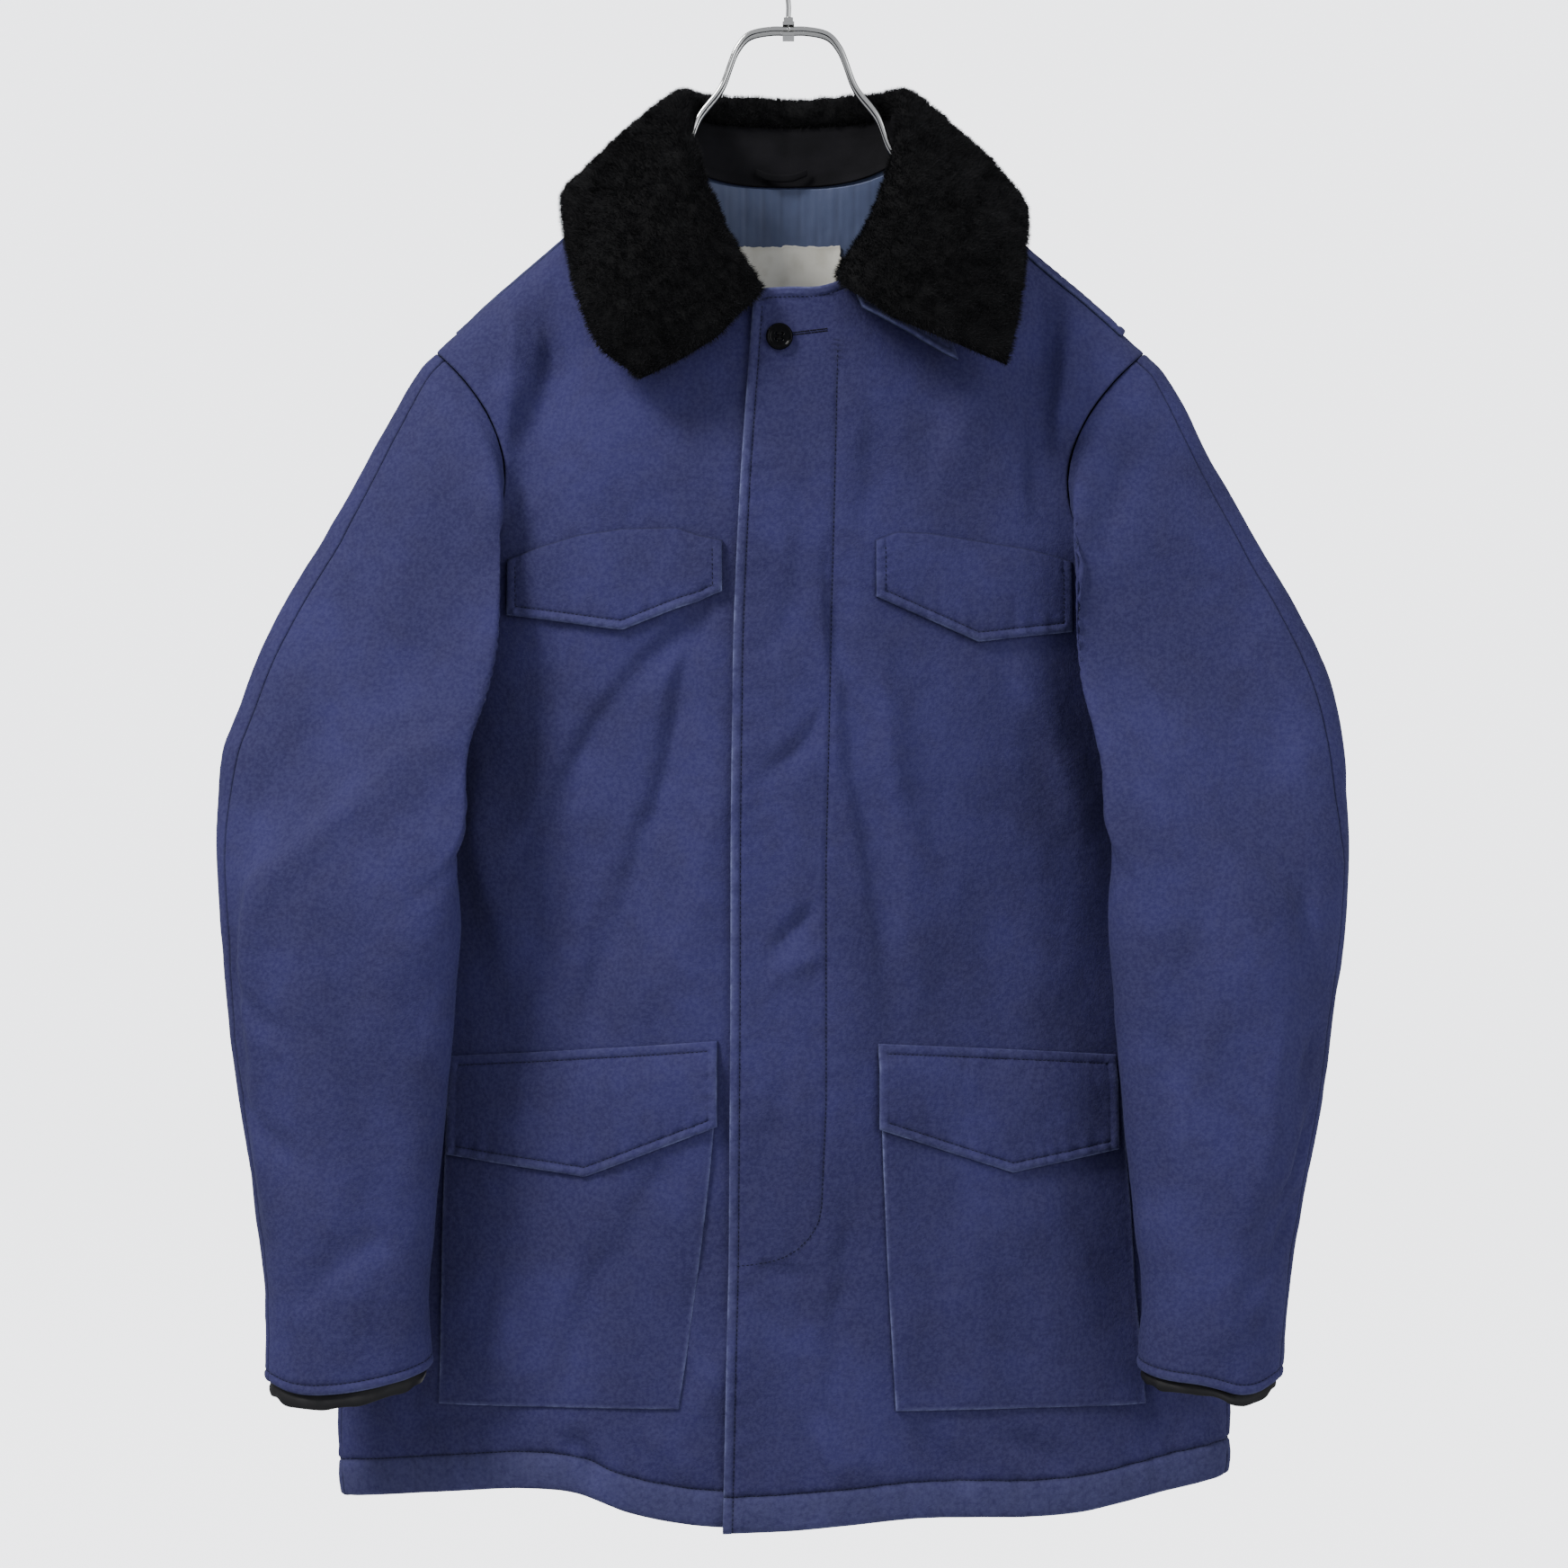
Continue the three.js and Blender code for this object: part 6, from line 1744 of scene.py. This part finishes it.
for b in (-1, 1):
    x = np.linspace(-HOLE_OFF, HOLE_OFF, 9)
    height = 2.45 + 0.5 * np.cos(x / HOLE_OFF * math.pi / 2)
    line = np.stack([x, np.full(9, HOLE_OFF * b), height], axis=1)
    for shift in (-0.28, 0.28):
        threads.append(tube(f"button_thread_{len(threads)}", line + [0, shift, 0], 0.3, BLACK_THREAD, 8))
for piece in threads:
    place(piece, seat, button_normal)
    add_piece(piece, "button")

# The buttonhole beyond the button: two lips of close stitches
hole_x = np.linspace(-1, 29, 41)
hole_drop = BUTTON_DROP - 1.2 - 3.6 * (hole_x + 1) / 30
starts = np.stack([hole_x - 3, np.full(41, IN_FRONT), -hole_drop], axis=1)
lips = []
for shift in (-0.75, 0.75):
    lip = starts.copy()
    lip[:, 2] += shift
    hits, normals = cast(front_trees[1], lip[None], (0, 1, 0))
    lips.append((hits[0], normals[0]))
sewn(lips, "buttonhole", BLACK_THREAD, "shell", pitch=0.9, long=0.6, wide=0.55, seed=71)

# Hanging loop
LOOP_LINE = [(-22, 37, -157), (-12, 34.5, -161), (3, 34.5, -161), (13, 37, -157)]
loop = [curve_point([np.array(p, float) for p in LOOP_LINE], t) for t in np.linspace(0, 1, 41)]
loop = np.array(loop)
loop_rows = np.stack([loop + [0, 0, dz] for dz in np.linspace(2.6, -2.6, 9)])
tape_edges = ((0.1, 0.6), (0.1, 0.6))
loop_cloth = Cloth(loop_rows, -1, (OPEN_STOPS, OPEN_STOPS), tape_edges, cell=1.0, per_cell=1)
loop_cloth.height += roll(np.minimum(loop_cloth.from_top, loop_cloth.from_bottom), 0.6, 1.2)
wall("cloth_hang_loop", loop_cloth, 1.6, BLACK, "black_cloth", "hang_loop", 0.8)

# Hanger
WIRE_TOP_DROP = 66.5
WIRE_LINE = [
    (0, 8, WIRE_TOP_DROP), (12, 8, WIRE_TOP_DROP), (27, 8, 70), (35, 8, 79), (46, 8, 106), (61, 8, 126),
    (69, 8, 146), (80, 8, 161), (110, 8, 188), (160, 8, 233), (204, 8, 274), (212, 4, 281),
]


def strand(side, facing):
    return [np.array([side * x, facing * y, -drop], float) for x, y, drop in WIRE_LINE]


wire = strand(1, -1) + strand(1, 1)[::-1] + strand(-1, 1)[1:] + strand(-1, -1)[::-1]
wire[0][0], wire[-1][0] = 0.3, -0.3
wire_line = [curve_point(wire, t) for t in np.linspace(0, 1, 600)]
add_piece(tube("hanger_wire_bright", wire_line, WIRE_RADIUS, CHROME, 16), "chrome", "hanger_wire")

CLEARANCE = 0.5
CLAMP_PLATE = 2.6
TOP = -WIRE_TOP_DROP + WIRE_RADIUS + CLEARANCE
BOTTOM = -WIRE_TOP_DROP - WIRE_RADIUS - CLEARANCE
hook_start = TOP + CLAMP_PLATE + 4 + CLEARANCE
hook_centre = -(HOOK_RADIUS - WIRE_RADIUS)
hook = [
    (0, 0, hook_start),
    (0, 0, (hook_start + hook_centre - HOOK_RADIUS) / 2 - 2),
    (-2, 0, hook_centre - HOOK_RADIUS - 4),
]
for a in range(215, -26, -15):
    turn = math.radians(a)
    hook.append((HOOK_RADIUS * math.cos(turn), 0, hook_centre + HOOK_RADIUS * math.sin(turn)))
hook = [np.array(p, float) for p in hook]
hook_line = [curve_point(hook, t) for t in np.linspace(0, 1, 260)]
add_piece(tube("hanger_hook_bright", hook_line, WIRE_RADIUS, CHROME, 24), "chrome", "hanger_hook")


def block(size, centre, bevel=0.5):
    mesh = bmesh.new()
    bmesh.ops.create_cube(mesh, size=1)
    for v in mesh.verts:
        v.co = Vector([(c * s + m) * MM for c, s, m in zip(v.co, size, centre)])
    bmesh.ops.bevel(mesh, geom=mesh.edges[:], offset=bevel * MM, segments=3, affect="EDGES", profile=0.7)
    return mesh


parts = [
    block((8, 22, CLAMP_PLATE), (0, 0, TOP + CLAMP_PLATE / 2)),
    block((8, 22, CLAMP_PLATE), (0, 0, BOTTOM - CLAMP_PLATE / 2)),
    block((8, 9, TOP - BOTTOM + 2), (0, 0, (TOP + BOTTOM) / 2)),
    block((6.4, 6.4, 5), (0, 0, TOP + CLAMP_PLATE + 1.9), 0.8),
]
clamp_data = bpy.data.meshes.new("hanger_clamp_bright")
joined = bmesh.new()
for part in parts:
    step = bpy.data.meshes.new("step")
    part.to_mesh(step)
    joined.from_mesh(step)
    part.free()
joined.to_mesh(clamp_data)
joined.free()
clamp_data.materials.append(CHROME)
clamp = bpy.data.objects.new("hanger_clamp_bright", clamp_data)
bpy.context.scene.collection.objects.link(clamp)
add_piece(clamp, "chrome", "hanger_clamp")


# Stage, light and camera
FLOOR_DROP = 1300


def bowl():
    """A pale floor that curves up into a wall all round."""
    radius, height, bend = 7.0, 6.0, 2.0
    section = [(0.0, 0.0), (2.0, 0.0), (radius - bend, 0.0)]
    for a in range(10, 91, 10):
        turn = math.radians(a)
        section.append((radius - bend + bend * math.sin(turn), bend * (1 - math.cos(turn))))
    section.append((radius, height))
    s = Shader("backdrop")
    s.set(Base_Color=colour(236, 236, 240), Roughness=0.95, Specular_IOR_Level=0.1)
    s.set(Emission_Color=(0.96, 0.97, 1.0, 1), Emission_Strength=2.8)
    made = lathe("backdrop", [(r / MM, z / MM - FLOOR_DROP) for r, z in section], 96, s.material)
    made.visible_diffuse = False
    made.visible_glossy = False


bowl()
world = bpy.data.worlds.new("pale_room")
world.use_nodes = True
world.node_tree.nodes["Background"].inputs["Color"].default_value = (0.93, 0.95, 1.0, 1)
world.node_tree.nodes["Background"].inputs["Strength"].default_value = 0.6
bpy.context.scene.world = world


def area_light(name, position, target, size, power, shade=(1, 1, 1)):
    data = bpy.data.lights.new(name, "AREA")
    data.size = size
    data.energy = power
    data.color = shade
    light = bpy.data.objects.new(name, data)
    light.location = position
    aim = Vector(target) - Vector(position)
    light.rotation_euler = aim.to_track_quat("-Z", "Y").to_euler()
    bpy.context.scene.collection.objects.link(light)


area_light("key", (-2.3, -1.7, 2.2), (0, 0, -0.55), 1.1, 152, (1.0, 0.99, 0.97))
area_light("fill", (2.8, -3.4, 0.4), (0, 0, -0.6), 3.0, 62, (0.95, 0.97, 1.0))

camera_data = bpy.data.cameras.new("camera")
camera_data.sensor_width = 36
camera_data.lens = 89.5
camera = bpy.data.objects.new("camera", camera_data)
camera.location = (-0.003, -2.66, -0.58)
camera.rotation_euler = (math.radians(90), 0, 0)
bpy.context.scene.collection.objects.link(camera)
bpy.context.scene.camera = camera
